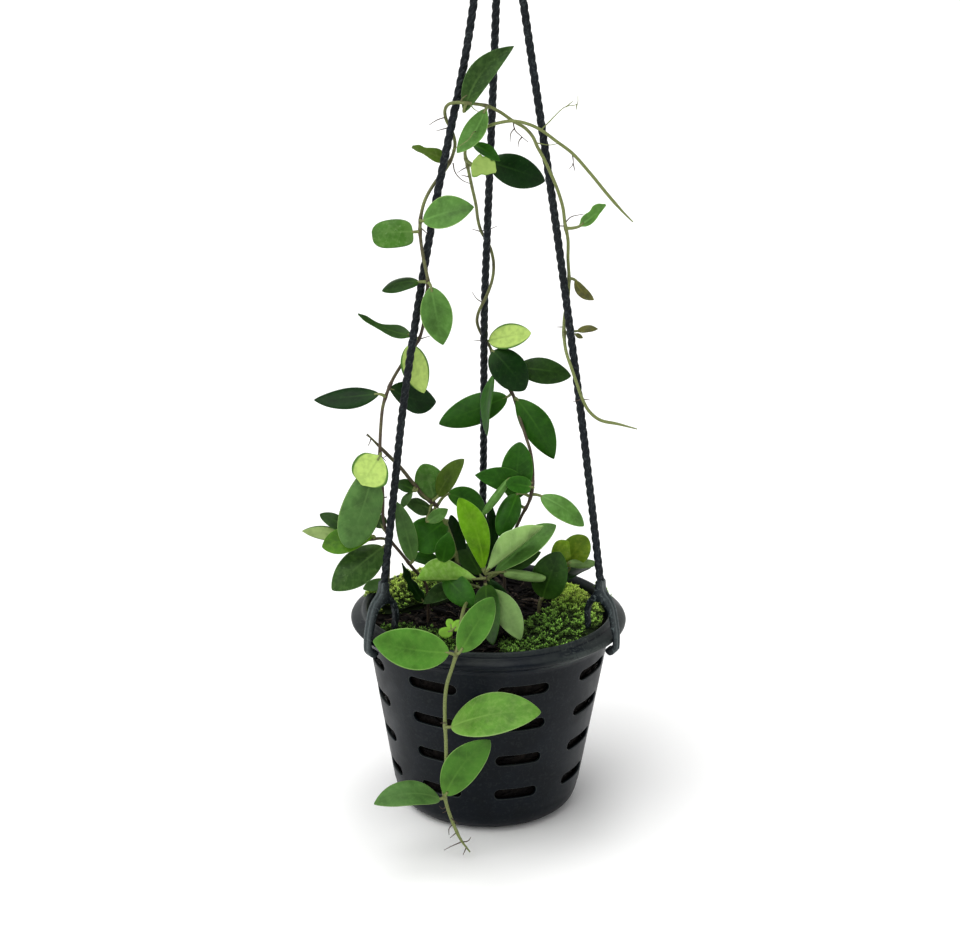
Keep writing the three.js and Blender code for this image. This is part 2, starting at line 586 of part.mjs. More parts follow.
    // The short shoot in the middle, whose leaves spread from one point.
    name: "shoot_middle",
    thick: 2.6,
    rooted: [-1, -8],
    route: [[486, 602, 8], [485, 588, 10], [486, 574, 11]],
    leaves: [
      { base: [484, 569, 12], tip: [461, 498, 18], wide: 15.5, turn: 10, arch: 3, cup: 1, blunt: 0.55, peak: 0.6 },
      { base: [490, 570, 12], tip: [543, 525, 22], wide: 19, turn: -38, arch: 3, cup: 1.5, peak: 0.56 },
      { base: [495, 572, 6], tip: [556, 525, 3], wide: 18, turn: -35, arch: 2, cup: 1, blunt: 0.6, peak: 0.6 },
      {
        base: [478, 578, 12], tip: [417, 578, 22], wide: 16,
        turn: 48, arch: 4, cup: -1, bow: 1.5, blunt: 0.6, peak: 0.6,
      },
      {
        base: [488, 588, 14], tip: [521, 640, 44], wide: 14,
        turn: -8, arch: 4, cup: 1, bow: -1, blunt: 0.6, peak: 0.57,
      },
      { base: [464, 582, 14], tip: [470, 605, 34], wide: 19, turn: 30, arch: 3, cup: 1 },
      { base: [463, 588, 20], tip: [424, 603, 26], wide: 11, turn: 30, arch: 2, cup: 1 },
      { base: [480, 575, 4], tip: [459, 543, -4], wide: 13, turn: 20, arch: 2, cup: 1 },
      { base: [503, 573, 8], tip: [545, 578, 8], wide: 6.5, turn: -20, arch: 1, blunt: 0.35 },
      { base: [486, 585, 12], tip: [493, 645, 50], wide: 14, turn: 10, arch: 4, cup: 1, blunt: 0.55 },
      { base: [485, 567, 4], tip: [490, 502, -14], wide: 9, turn: 30, arch: 3, cup: 1 },
      { base: [499, 573, 1], tip: [538, 555, -6], wide: 9, turn: -25, arch: 1, cup: 1 },
    ],
  },
  {
    // The shoot left of the middle, with a bare twig that reaches out behind the left leg.
    name: "shoot_left",
    thick: 2.6,
    rooted: [-12.5, -3],
    route: [[464, 590, 4], [458, 565, 4], [452, 540, 5], [444, 520, 6], [437, 506, 6]],
    twigs: [
      [
        [437, 506, 6], [425, 497, 9], [413, 483, 13], [400, 467, 17], [388, 455, 20], [371, 438, 22],
        [367, 434, 22],
      ],
    ],
    leaves: [
      { base: [434, 500, 6], tip: [423, 464, 2], wide: 16.5, turn: 10, arch: 2, cup: 1.5, blunt: 0.45 },
      { base: [438, 496, 8], tip: [464, 459, 12], wide: 12, turn: -30, arch: 2, cup: 1, blunt: 0.6 },
      { base: [415, 491, 14], tip: [394, 483, 12], wide: 8, turn: 30, arch: 1, cup: 1 },
      { base: [412, 492, 15], tip: [401, 509, 20], wide: 5, turn: 30, arch: 1 },
      { base: [433, 509, 8], tip: [405, 504, 14], wide: 10, turn: 35, arch: 1, cup: -1 },
      { base: [447, 520, 4], tip: [413, 547, 12], wide: 20, turn: 5, arch: 3, cup: -1, blunt: 0.42, peak: 0.62 },
      { base: [430, 520, 15], tip: [448, 510, 12], wide: 6, turn: 0, arch: 1, cup: 1 },
      { base: [448, 494, 2], tip: [486, 511, -6], wide: 15, turn: -30, arch: 2, cup: 1, blunt: 0.55 },
      { base: [442, 563, 13], tip: [449, 532, 25], wide: 11, turn: 0, arch: 1, blunt: 0.8 },
      { base: [444, 566, 2], tip: [407, 557, 5], wide: 9, turn: 35, arch: 2, cup: 1 },
    ],
  },
  {
    // The low shoot on the right.
    name: "shoot_right",
    thick: 2.4,
    rooted: [27.5, 1.5],
    route: [[541, 599, -2], [546, 592, -5], [555, 583, -9], [566, 572, -14]],
    leaves: [
      { base: [543, 597, 2], tip: [561, 553, 4], wide: 20, turn: -10, arch: 3, cup: 1, blunt: 0.5 },
      { base: [567, 566, -14], tip: [556, 541, -14], wide: 12.5, turn: 20, arch: 2, cup: -1, blunt: 0.45 },
      { base: [569, 561, -15], tip: [589, 539, -13], wide: 14, turn: -15, arch: 2, cup: -1, blunt: 0.42 },
      { base: [568, 563, -9], tip: [597, 563, -13], wide: 6, turn: -20, arch: 1, blunt: 0.4 },
      { base: [562, 582, -10], tip: [592, 566, -20], wide: 13, turn: -60, arch: 2, cup: 1 },
    ],
  },
];

// A self-sown seedling in the moss, with small round leaves.
const SEEDLING = {
  name: "seedling",
  thick: 1.2,
  rooted: [-21.5, -38],
  route: [[452, 634, 40], [452, 629, 41]],
  leaves: [
    { base: [451, 630, 42], tip: [440, 633, 45], wide: 5, turn: 30, blunt: 0.4 },
    { base: [454, 629, 42], tip: [462, 624, 41], wide: 4.5, turn: -30, blunt: 0.4 },
    { base: [452, 627, 41], tip: [449, 620, 38], wide: 4.5, turn: 0, blunt: 0.4 },
  ],
};

const plant = new THREE.Group();
plant.position.z = -HANG_HEIGHT;
plant.add(node("pot", makePot(), LOOK.pot));
plant.add(node("growing_medium", makeMedium([...STEMS, SEEDLING]), LOOK.medium));
for (const patch of MOSS) {
  plant.add(node(patch.name, makeMoss(patch, [...STEMS, SEEDLING]), LOOK.moss));
}
for (const [side, azimuth] of Object.entries(CLIP.azimuths)) {
  plant.add(node(`clip_${side}`, makeClip(azimuth), LOOK.hanger));
  plant.add(node(`leg_${side}`, makeLeg(side, azimuth), LOOK.hanger));
}
plant.add(node("hook", makeHook(), LOOK.hanger));
for (const stem of STEMS) {
  plant.add(node(stem.name, makeStem(stem), LOOK.plant));
}
plant.add(node("seedling", makeStem(SEEDLING), LOOK.weed));

const group = new THREE.Group();
group.add(plant);

export default group;
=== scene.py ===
"""A hoya that climbs the hanger of its slotted pot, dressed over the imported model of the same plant."""

import math
import random
from collections import namedtuple

import bmesh
import bpy
import numpy as np
from mathutils import Matrix, Vector, noise


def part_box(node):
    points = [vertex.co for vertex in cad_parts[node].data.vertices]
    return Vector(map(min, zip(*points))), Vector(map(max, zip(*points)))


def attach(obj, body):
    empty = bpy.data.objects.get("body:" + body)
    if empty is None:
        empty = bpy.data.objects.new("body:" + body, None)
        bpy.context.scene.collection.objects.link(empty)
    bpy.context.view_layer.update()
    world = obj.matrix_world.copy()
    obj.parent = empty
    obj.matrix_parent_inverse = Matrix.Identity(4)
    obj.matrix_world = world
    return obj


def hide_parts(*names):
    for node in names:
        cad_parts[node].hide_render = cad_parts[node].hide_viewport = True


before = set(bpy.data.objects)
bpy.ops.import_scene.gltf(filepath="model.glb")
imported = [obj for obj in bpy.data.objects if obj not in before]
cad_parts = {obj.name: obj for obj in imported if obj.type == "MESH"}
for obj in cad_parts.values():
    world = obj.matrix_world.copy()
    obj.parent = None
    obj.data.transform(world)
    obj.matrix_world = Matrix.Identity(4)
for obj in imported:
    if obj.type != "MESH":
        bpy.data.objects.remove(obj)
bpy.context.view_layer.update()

# The camera stands 1.1 m in front of the pot, level with the top of the hook and a little to the left,
# and looks down by 18 degrees. Places are in millimetres, with heights counted from the pot's foot.
FOOT_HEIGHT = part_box("pot")[0][2]
EYE = Vector((-66, -1100, 545.5))
# In radians: to the right, downward, and about the line of sight.
TURN, TILT, LEAN = 0.055, 0.31, 0.0103
FOCAL_POINTS = 2164
PICTURE_WIDTH = 960

ahead = Vector((math.sin(TURN) * math.cos(TILT), math.cos(TURN) * math.cos(TILT), -math.sin(TILT)))
right = Matrix.Rotation(-LEAN, 3, ahead) @ Vector((math.cos(TURN), -math.sin(TURN), 0))
above = right.cross(ahead)


def in_frame(point):
    """A place above the pot's foot, in millimetres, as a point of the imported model's frame."""
    return Vector(point) / 1000 + Vector((0, 0, FOOT_HEIGHT))


camera_lens = bpy.data.cameras.new("camera")
camera_lens.sensor_fit = "HORIZONTAL"
camera_lens.lens = camera_lens.sensor_width * FOCAL_POINTS / PICTURE_WIDTH
camera = bpy.data.objects.new("camera", camera_lens)
camera.matrix_world = Matrix.Translation(in_frame(EYE)) @ Matrix((right, above, -ahead)).transposed().to_4x4()
bpy.context.scene.collection.objects.link(camera)
bpy.context.scene.camera = camera

# Three taut legs of three twisted plastic strands carry the pot. Each is moulded into the head of its
# clip and into the hub. They stray a little from a straight line where the vines pull at them.
LEG_THICK, STRAND_LAY, STRAND_OFFSET, STRAND_RADIUS, STRAND_SIDES = 4.4, 15, 0.82, 1.34, 30
LEG_FOOT, LEG_TOP, LEG_MEET = 139.2, 497.6, 526
CLIP_AZIMUTH = {"left": -60, "right": 60, "back": 180}
CLIP_RADIUS, CLIP_HEIGHT = 65.8, 140
ROUTE_STEP, ROPE_STEP, CURVE_PARTS = 10, 1, 12
# How far each leg strays, as height and millimetres to the right.
LEG_STRAY = {
    "left": [(LEG_FOOT, 0), (190, -2), (230, -3.6), (290, -3.6), (340, -2.3), (370, -0.6), (410, 1.6),
             (450, 1.7), (LEG_TOP, 0.8)],
    "right": [(LEG_FOOT, 0), (190, 1), (230, 1.6), (330, 1.6), (390, 0.9), (440, 0.2), (LEG_TOP, 0)],
    "back": [(LEG_FOOT, 0), (190, -0.4), (270, -1.5), (310, -0.9), (370, 0.2), (420, 1), (450, 1.2),
             (LEG_TOP, 0.8)],
}


def polar(radius, azimuth, z):
    """Azimuth 0 is the front, and it grows towards the right hand."""
    a = math.radians(azimuth)
    return Vector((radius * math.sin(a), -radius * math.cos(a), z))


def curve_through(stops, spacing):
    """Evenly spaced places on a smooth curve through the stops."""
    stops = [Vector(p) for p in stops]
    stops = [2 * stops[0] - stops[1], *stops, 2 * stops[-1] - stops[-2]]
    dense = [stops[1]]
    for four in zip(stops, stops[1:], stops[2:], stops[3:]):
        t = np.cumsum([0] + [(q - p).length ** 0.5 for p, q in zip(four, four[1:])])
        for s in t[1] + (t[2] - t[1]) * np.arange(1, CURVE_PARTS + 1) / CURVE_PARTS:
            ab, bc, cd = (four[j].lerp(four[j + 1], (s - t[j]) / (t[j + 1] - t[j])) for j in range(3))
            abc = ab.lerp(bc, (s - t[0]) / (t[2] - t[0]))
            bcd = bc.lerp(cd, (s - t[1]) / (t[3] - t[1]))
            dense.append(abc.lerp(bcd, (s - t[1]) / (t[2] - t[1])))
    line = np.array(dense)
    run = np.concatenate(([0], np.cumsum(np.linalg.norm(np.diff(line, axis=0), axis=1))))
    even = np.linspace(0, run[-1], max(2, round(run[-1] / spacing) + 1))
    return np.column_stack([np.interp(even, run, line[:, k]) for k in range(3)])


def wall_faces(rings, count):
    """The faces between closed rings of points that follow one another."""
    steps = [(j, (j + 1) % count) for j in range(count)]
    return [(k + j, k + after, k + count + after, k + count + j)
            for k in range(0, (rings - 1) * count, count) for j, after in steps]


def swept(path, section, turns=0.0, grow=None):
    """Points and faces of a closed skin: a section carried along a path and turned evenly on the way."""
    path = np.asarray(path, float)
    ways = np.gradient(path, axis=0)
    ways /= np.linalg.norm(ways, axis=1)[:, None]
    side = np.cross(ways[0], (0.3, 0.2, 1) if abs(ways[0][2]) < 0.8 else (1, 0.2, 0.3))
    points, count = [path[0]], len(section)
    for k, (at, way) in enumerate(zip(path, ways)):
        side -= way * side.dot(way)
        side /= np.linalg.norm(side)
        angle = 2 * math.pi * turns * k / (len(path) - 1)
        out = math.cos(angle) * side + math.sin(angle) * np.cross(way, side)
        size = 1 if grow is None else grow[k]
        points.extend(at + size * (section[:, :1] * out + section[:, 1:] * np.cross(way, out)))
    points.append(path[-1])
    last = len(points) - 1
    faces = [(0, 1 + (j + 1) % count, 1 + j) for j in range(count)]
    faces += [tuple(1 + i for i in reversed(face)) for face in wall_faces(len(path), count)]
    faces += [(last, last - count + j, last - count + (j + 1) % count) for j in range(count)]
    return points, faces


class Skin:
    """The points, faces and named point values of one piece while it is being made."""

    def __init__(self):
        self.points, self.faces, self.looks, self.values = [], [], [], {}

    def add(self, points, faces, look=0, **values):
        start = len(self.points)
        self.points.extend(points)
        self.faces.extend(tuple(start + i for i in face) for face in faces)
        self.looks.extend([look] * len(faces))
        for name, value in values.items():
            each = value if hasattr(value, "__len__") else [value] * len(points)
            self.values.setdefault(name, []).extend(each)

    def piece(self, name, slot, node, materials):
        """The finished piece. It rides on the part and stands for its node."""
        mesh = bpy.data.meshes.new(name)
        mesh.from_pydata([in_frame(p) for p in self.points], [], self.faces)
        for material in materials:
            mesh.materials.append(material)
        mesh.polygons.foreach_set("material_index", self.looks)
        mesh.polygons.foreach_set("use_smooth", [True] * len(self.faces))
        for value_name, value in self.values.items():
            mesh.attributes.new(value_name, "FLOAT", "POINT").data.foreach_set("value", value)
        made = bpy.data.objects.new(name, mesh)
        bpy.context.scene.collection.objects.link(made)
        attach(made, "root")
        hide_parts(node)
        return made


def add_node(tree, kind, inputs=None, **settings):
    """A shader node with its settings, and with values or other nodes' outputs on its inputs."""
    node = tree.nodes.new("ShaderNode" + kind)
    for key, value in settings.items():
        setattr(node, key, value)
    for key, value in (inputs or {}).items():
        if isinstance(value, bpy.types.NodeSocket):
            tree.links.new(value, node.inputs[key])
        else:
            node.inputs[key].default_value = value
    return node


def colour(code):
    """A colour from its usual six-figure code, as the shader counts it."""
    parts = [int(code[k : k + 2], 16) / 255 for k in (0, 2, 4)]
    return (*(c / 12.92 if c <= 0.04045 else ((c + 0.055) / 1.055) ** 2.4 for c in parts), 1)


def effect(name, colours, amounts):
    """An empty node group. It is given colours and amounts, and puts out how a surface looks."""
    group = bpy.data.node_groups.new(name, "ShaderNodeTree")
    given = {**dict.fromkeys(colours, "Color"), **dict.fromkeys(amounts, "Float")}
    shown = {"Color": "Color", "Roughness": "Float", "Normal": "Vector"}
    for way, sockets in (("INPUT", given), ("OUTPUT", shown)):
        for socket, kind in sockets.items():
            group.interface.new_socket(socket, in_out=way, socket_type="NodeSocket" + kind)
    return group, group.nodes.new("NodeGroupInput").outputs


def put_out(group, shade, roughness, height, strength, depth):
    """Ends an effect. Its relief follows a height, with a strength and a depth in metres."""
    relief = add_node(group, "Bump", {"Strength": strength, "Distance": depth, "Height": height})
    end = group.nodes.new("NodeGroupOutput")
    for name, value in (("Color", shade), ("Roughness", roughness), ("Normal", relief.outputs["Normal"])):
        group.links.new(value, end.inputs[name])
    return group


def finish(name, group, shine, **given):
    """A material whose colour, roughness and normal come from an effect, with a shine of its own."""
    material = bpy.data.materials.new(name)
    material.use_nodes = True
    tree = material.node_tree
    tree.nodes.clear()
    skin = add_node(tree, "Group", given, node_tree=group).outputs
    fed = {"Base Color": skin["Color"], "Roughness": skin["Roughness"], "Normal": skin["Normal"]}
    body = add_node(tree, "BsdfPrincipled", {**fed, "Specular IOR Level": shine})
    add_node(tree, "OutputMaterial", {"Surface": body.outputs["BSDF"]})
    return material


def mixed(tree, factor, a, b):
    """Colour a turned into colour b by a factor."""
    return add_node(tree, "Mix", {0: factor, 6: a, 7: b}, data_type="RGBA").outputs[2]


def maths(tree, operation, *values):
    """The result of one sum on values and other nodes' outputs."""
    return add_node(tree, "Math", dict(enumerate(values)), operation=operation).outputs[0]


def between(tree, value, low, high, to_low=0.0, to_high=1.0):
    """A value brought from one range smoothly to another."""
    inputs = {"Value": value, "From Min": low, "From Max": high, "To Min": to_low, "To Max": to_high}
    return add_node(tree, "MapRange", inputs, interpolation_type="SMOOTHSTEP").outputs["Result"]


def speckle(tree, scale, detail=2.0, **more):
    """Noise that is fixed to the object, with its scale in bumps per metre."""
    at = add_node(tree, "TexCoord").outputs["Object"]
    inputs = {"Vector": at, "Scale": scale, "Detail": detail, **more}
    return add_node(tree, "TexNoise", inputs).outputs["Fac"]


def point_value(tree, name):
    """One of the values that a skin carries on its points."""
    return add_node(tree, "Attribute", attribute_name=name).outputs["Fac"]


BLACK = (0, 0, 0, 1)


def moulded_plastic():
    """Satin moulded plastic: fine grain, dull patches, pale scuffs, rubbed edges and painted highlights, and
    settled dust.
    """
    group, given = effect("moulded_plastic", ("Plastic", "Dust"), ("Scuffs", "Settled", "Gloss"))
    patches, fine = speckle(group, 55, 4), speckle(group, 2600, 2)
    streaks = speckle(group, 420, 5, Distortion=1.5)
    bare = between(group, streaks, 0.3, 0.55, 0.5, 1.0)
    rubbed = maths(group, "MULTIPLY", bare, point_value(group, "rubbed"))
    scuffs = maths(group, "ADD", given["Scuffs"], point_value(group, "worn"))
    scuffed = maths(group, "MULTIPLY", between(group, streaks, 0.5, 0.68), scuffs)
    lying = add_node(group, "SeparateXYZ", {0: add_node(group, "NewGeometry").outputs["Normal"]}).outputs["Z"]
    settled = maths(group, "MULTIPLY", between(group, lying, 0.35, 1.0), between(group, patches, 0.35, 0.65))
    dust = maths(group, "MULTIPLY", settled, given["Settled"])
    pale = maths(group, "MAXIMUM", maths(group, "MAXIMUM", scuffed, dust), rubbed)
    shade = mixed(group, between(group, patches, 0.3, 0.7, 0.0, 0.35), given["Plastic"], BLACK)
    rough = maths(group, "ADD", given["Gloss"], between(group, patches, 0.3, 0.7, -0.05, 0.08))
    rough = maths(group, "ADD", rough, maths(group, "MULTIPLY", scuffed, 0.5))
    height = maths(group, "ADD", maths(group, "MULTIPLY", fine, 0.5), streaks)
    return put_out(group, mixed(group, pale, shade, given["Dust"]), rough, height, 0.12, 0.0003)


plastic_effect = moulded_plastic()
hanger_plastic = finish("hanger_plastic", plastic_effect, 0.22, Plastic=colour("0c151b"),
                        Dust=colour("667070"), Scuffs=0.2, Settled=0.24, Gloss=0.42)


def strand_section():
    """The outline of three touching strands, as one closed line."""
    angles = np.linspace(0, 2 * math.pi, STRAND_SIDES, endpoint=False)
    off = (angles + math.pi / 3) % (2 * math.pi / 3) - math.pi / 3
    reach = STRAND_OFFSET * np.cos(off) + np.sqrt(STRAND_RADIUS**2 - (STRAND_OFFSET * np.sin(off)) ** 2)
    return np.column_stack((reach * np.cos(angles), reach * np.sin(angles)))


leg_lean = CLIP_RADIUS / (LEG_MEET - CLIP_HEIGHT)
for side_name, azimuth in CLIP_AZIMUTH.items():
    stops = []
    for height, stray in LEG_STRAY[side_name]:
        stops.append(polar(leg_lean * (LEG_MEET - height), azimuth, height) + Vector((stray, 0, 0)))
    route, line = curve_through(stops, ROUTE_STEP), curve_through(stops, ROPE_STEP)
    rope = Skin()
    rope.add(*swept(line, strand_section(), turns=ROPE_STEP * (len(line) - 1) / STRAND_LAY))
    leg = rope.piece(f"rope_{side_name}", "hanger", f"leg_{side_name}", [hanger_plastic])

# The hook and the hub below it are moulded as one. The hub is a round boss that swallows the tops of
# the legs, and the hook is a plain round bar that bends over the rail it hangs from.
HUB_OUTLINE = [(0.01, 497), (7.6, 497), (8.9, 497.4), (9.5, 498.4), (9.5, 504.6), (9.1, 506.4), (7.3, 508.9),
               (4.6, 510.4), (3.3, 511.2), (2.9, 513)]
HUB_SIDES, BAR_SIDES, BAR_STEP = 48, 24, 0.8
HOOK_CENTRE, HOOK_BEND, HOOK_THICK = 531, 13.5, 5.6
HOOK_SHANK = [(0, 0, 507), (1.2, 0, 512)]
HOOK_FROM, HOOK_TO, HOOK_STEP = -55, 205, 10


def ring(sides, radius):
    """A round section."""
    a = np.linspace(0, 2 * math.pi, sides, endpoint=False)
    return np.column_stack((radius * np.cos(a), radius * np.sin(a)))


def turned(outline, azimuths):
    """Points and faces of an outline of radius and height, turned round the pot's axis."""
    points = [polar(r, a, z) for r, z in outline for a in azimuths]
    return points, wall_faces(len(outline), len(azimuths))


hook_skin = Skin()
hook_skin.add(*turned(HUB_OUTLINE, np.linspace(0, 360, HUB_SIDES, endpoint=False)))
bend = [math.radians(degrees) for degrees in range(HOOK_FROM, HOOK_TO + 1, HOOK_STEP)]
stops = HOOK_SHANK + [(HOOK_BEND * math.cos(a), 0, HOOK_CENTRE + HOOK_BEND * math.sin(a)) for a in bend]
bar = curve_through(stops, BAR_STEP)
from_tip = np.arange(len(bar) - 1, -1, -1) * BAR_STEP / (HOOK_THICK / 2)
round_tip = np.sqrt(np.clip(1 - np.maximum(0, 1 - from_tip) ** 2, 0.05, 1))
hook_skin.add(*swept(bar, ring(BAR_SIDES, HOOK_THICK / 2), grow=round_tip))
hook_skin.piece("hanging_hook", "hanger", "hook", [hanger_plastic])

# Three clips hold the rim. Each is a moulded loop whose inner leg stands inside the rim and whose ribbed
# outer leg comes down over the lip and hooks under it. The leg of the hanger grows out of its head.
CLIP_OUTLINE = [
    (58.9, 110.8), (57.9, 116), (57.7, 121.6), (58.7, 126.4), (61.2, 129.8), (63.2, 132.2), (63.8, 135),
    (64, 139.6), (68, 139.9), (68.2, 135.4), (69.4, 132.2), (72.2, 129.2), (74.4, 124.8), (75.8, 118.4),
    (77.1, 110.6), (77.3, 102.2), (75.6, 99.4), (73.4, 98.6), (71.2, 100.2), (71, 102), (73.2, 102.6),
    (75.3, 104.8), (75.3, 109.2), (74, 113.4), (73, 118.6), (71.8, 123.2), (69.6, 126.6), (66.2, 128),
    (62.8, 127), (60.8, 123.6), (60.2, 118), (61.2, 111.4),
]
CLIP_WIDE, CLIP_ROUNDING = 6.5, 0.9
RIB_WIDE, RIB_HIGH, RIB_OFF_CENTRE, RIB_FOOT = 1.1, 0.45, 1.6, 101.5
INNER_LEG, OUTER_LEG, RIBBED_LEG, INNER_NARROW = 60, 66, 69, 0.55
RIB_RUB_AND_HIGHLIGHT, LEG_HIGHLIGHT, HEAD_WORN, WORN_FROM = 0.8, 0.25, 0.45, 126
# How a clip's edge is rounded, from its side to its broad face, as shares of the rounding.
EDGE_STEPS = [(0.0, 1.0), (0.1, 0.62), (0.38, 0.24), (0.75, 0.06), (1.0, 0.0)]
EDGE_INSET = 0.55
# Where the broad face has points, as shares of a quarter of the clip's width.
FACE_STEPS = (-0.9, -0.5, 0, 0.5, 0.9)


def closed_curve(outline, rounds=3, cut=0.2):
    """An outline with its corners cut and cut again until it is smooth."""
    line = np.array(outline, float)
    for _ in range(rounds):
        after = np.roll(line, -1, axis=0)
        pairs = np.stack(((1 - cut) * line + cut * after, cut * line + (1 - cut) * after), axis=1)
        line = pairs.reshape(-1, 2)
    return line


def outward_of(line):
    """The direction that points out of a closed line at each of its places."""
    way = np.roll(line, -1, axis=0) - np.roll(line, 1, axis=0)
    way /= np.linalg.norm(way, axis=1)[:, None]
    return np.column_stack((way[:, 1], -way[:, 0]))


clip_line = closed_curve(CLIP_OUTLINE)
clip_out = outward_of(clip_line)
if np.cross(clip_line, np.roll(clip_line, -1, axis=0)).sum() < 0:
    clip_out = -clip_out
edge_levels = [(edge * CLIP_ROUNDING - CLIP_WIDE / 2, inset * CLIP_ROUNDING * EDGE_INSET)
               for edge, inset in EDGE_STEPS]
clip_levels = edge_levels + [(share * CLIP_WIDE / 4, 0.0) for share in FACE_STEPS]
clip_levels += [(-shift, inset) for shift, inset in reversed(edge_levels)]
for side_name, azimuth in CLIP_AZIMUTH.items():
    outward, up = polar(1, azimuth, 0), Vector((0, 0, 1))
    across = outward.cross(up)
    points, rubbed = [], []
    for shift, inset in clip_levels:
        on_rib = abs(abs(shift) - RIB_OFF_CENTRE) < RIB_WIDE / 2
        for (r, z), (dr, dz) in zip(clip_line, clip_out):
            ribbed = on_rib and r > RIBBED_LEG and z > RIB_FOOT and dr > 0.5
            raised = (RIB_HIGH if ribbed else 0) - inset
            widening = min(1, max(0, (r - INNER_LEG) / (RIBBED_LEG - INNER_LEG)))
            narrow = INNER_NARROW + (1 - INNER_NARROW) * widening
            points.append(outward * (r + dr * raised) + up * (z + dz * raised) + across * (shift * narrow))
            # The ribs are rubbed paler and, like the outward faces of the outer leg, carry a painted
            # highlight.
            rubbed.append((RIB_RUB_AND_HIGHLIGHT if on_rib else LEG_HIGHLIGHT) * (r > OUTER_LEG and dr > 0.3))
    faces = wall_faces(len(clip_levels), len(clip_line))
    faces.append(tuple(reversed(range(len(clip_line)))))
    faces.append(tuple(range(len(points) - len(clip_line), len(points))))
    clip = Skin()
    clip.add(points, faces, worn=[HEAD_WORN * (p.length > WORN_FROM) for p in points], rubbed=rubbed)
    made = clip.piece(f"rim_clip_{side_name}", "hanger", f"clip_{side_name}", [hanger_plastic])
    mesh = bmesh.new()
    mesh.from_mesh(made.data)
    bmesh.ops.triangulate(mesh, faces=[f for f in mesh.faces if len(f.verts) > 4])
    bmesh.ops.recalc_face_normals(mesh, faces=mesh.faces)
    mesh.to_mesh(made.data)
    mesh.free()

# The pot is one moulding of dark plastic: a tapered wall with four rows of eight slots, a rolled lip with
# a bead on its crest, a ring foot, and a flat floor with seven drain holes.
POT_WALL, BAND_TOP, BAND_FOOT = 1.8, 98, 14.1
WALL_FOOT_RADIUS, WALL_SPREAD = 49.1, 0.171
SLOT_ROWS, SLOT_COLUMNS, SLOT_TURN = 4, 8, -31
SLOT_TOP, SLOT_STEP, SLOT_HIGH, SLOT_HALF_ANGLE = 89, 21.4, 6.1, 0.225
ALONG_SIDE, UP_SIDE, STRAIGHT_STEPS = 16, 8, 12
LIP_OUTLINE = [
    (66.0, 98.6), (66.5, 99.8), (67.0, 100.3), (67.2, 101.2), (68.2, 102.1), (70.6, 103.6), (73.0, 104.9),
    (74.3, 105.7), (74.9, 106.5), (75.0, 107.2), (74.7, 107.9), (74.0, 108.5), (72.4, 109.3), (70.6, 110.0),
    (69.7, 110.2), (69.3, 110.5), (69.2, 111.3), (68.9, 112.2), (68.2, 112.8), (67.4, 113), (66.7, 112.7),
    (66.1, 112.0), (65.5, 110.6), (64.9, 108), (64.3, 104), (64.06, 98.6),
]
FOOT_OUTLINE = [(50.9, 12.4), (50.6, 10.6), (50.1, 8.6), (49.0, 5.8), (47.2, 3.4), (44.8, 1.5), (42.6, 0.5),
                (40.9, 0.08), (40.0, 0), (37.4, 0), (36.7, 0.25), (36.3, 0.9), (36.1, 1.7), (35.4, 2)]
FLOOR_INSIDE = [(35.4, 5), (40.5, 5), (43.8, 5.6), (46.6, 7.6), (48.5, 10.6), (49.1, 12.4)]
FLOOR_LEVELS = (2, 5)
DRAIN_RADIUS, DRAIN_RING, DRAIN_COUNT, DRAIN_SIDES = 3.5, 24, 6, 24
# The wall has rings of points round each slot. These are their shares of the way out from the slot.
OUTSIDE_RINGS, INSIDE_RINGS = (1, 0.6, 0.28, 0.08, 0), (0, 0.1, 0.5, 1)
# A slot's edge from outside to inside: how far out of the hole it lies, and how deep in the wall.
SLOT_EDGE = [(0.3, 0.06), (0.1, 0.22), (0, 0.5), (0, POT_WALL - 0.4)]
SLOT_OUTER_EDGE, SLOT_INNER_EDGE, SLOT_EDGE_HIGHLIGHT = 0.55, 0.3, 0.2
CREST_HIGHLIGHT, LIP_SIDE_HIGHLIGHT, LIP_WORN = 0.14, 0.3, 0.24
CREST_FROM, LIP_SIDE_FROM, LIP_SIDE_TOP = 111, 67, 108.6


def pot_radius(z):
    """The outside of the tapered wall at a height."""
    return WALL_FOOT_RADIUS + WALL_SPREAD * z


slot_radius = pot_radius(60)


def slot_ring(margin):
    """The slot's rounded outline as arc length and height, grown by a margin, from its lower left."""
    end = SLOT_HIGH / 2 + margin
    straight = slot_radius * math.sin(SLOT_HALF_ANGLE) - SLOT_HIGH / 2
    line = [(-straight, 225), (-straight, 247.5)]
    line += [(-straight + 2 * straight * k / STRAIGHT_STEPS, 270) for k in range(STRAIGHT_STEPS + 1)]
    line += [(straight, 292.5)] + [(straight, -45 + 90 * k / UP_SIDE) for k in range(UP_SIDE)]
    line += [(-x, a + 180) for x, a in line]
    return [(x + end * math.cos(math.radians(a)), end * math.sin(math.radians(a))) for x, a in line]


def band_ring(low, high):
    """The outline of a slot's share of the wall, as a turn in degrees and a height, in the same order."""
    half = 180 / SLOT_COLUMNS
    line = [(-half + 2 * half * k / ALONG_SIDE, low) for k in range(ALONG_SIDE)]
    line += [(half, low + (high - low) * k / UP_SIDE) for k in range(UP_SIDE)]
    line += [(half - 2 * half * k / ALONG_SIDE, high) for k in range(ALONG_SIDE)]
    line += [(-half, high - (high - low) * k / UP_SIDE) for k in range(UP_SIDE)]
    return line


def wall_ring(level, band, share, margin, depth):
    """One ring between the slot, at share 0, and the edge of its part of the wall, at share 1."""
    places = []
    for (x, rise), (turn, z) in zip(slot_ring(margin), band):
        slot_turn = math.degrees(x / slot_radius)
        height = level + rise + (z - level - rise) * share
        places.append((slot_turn + (turn - slot_turn) * share, height, depth))
    return places


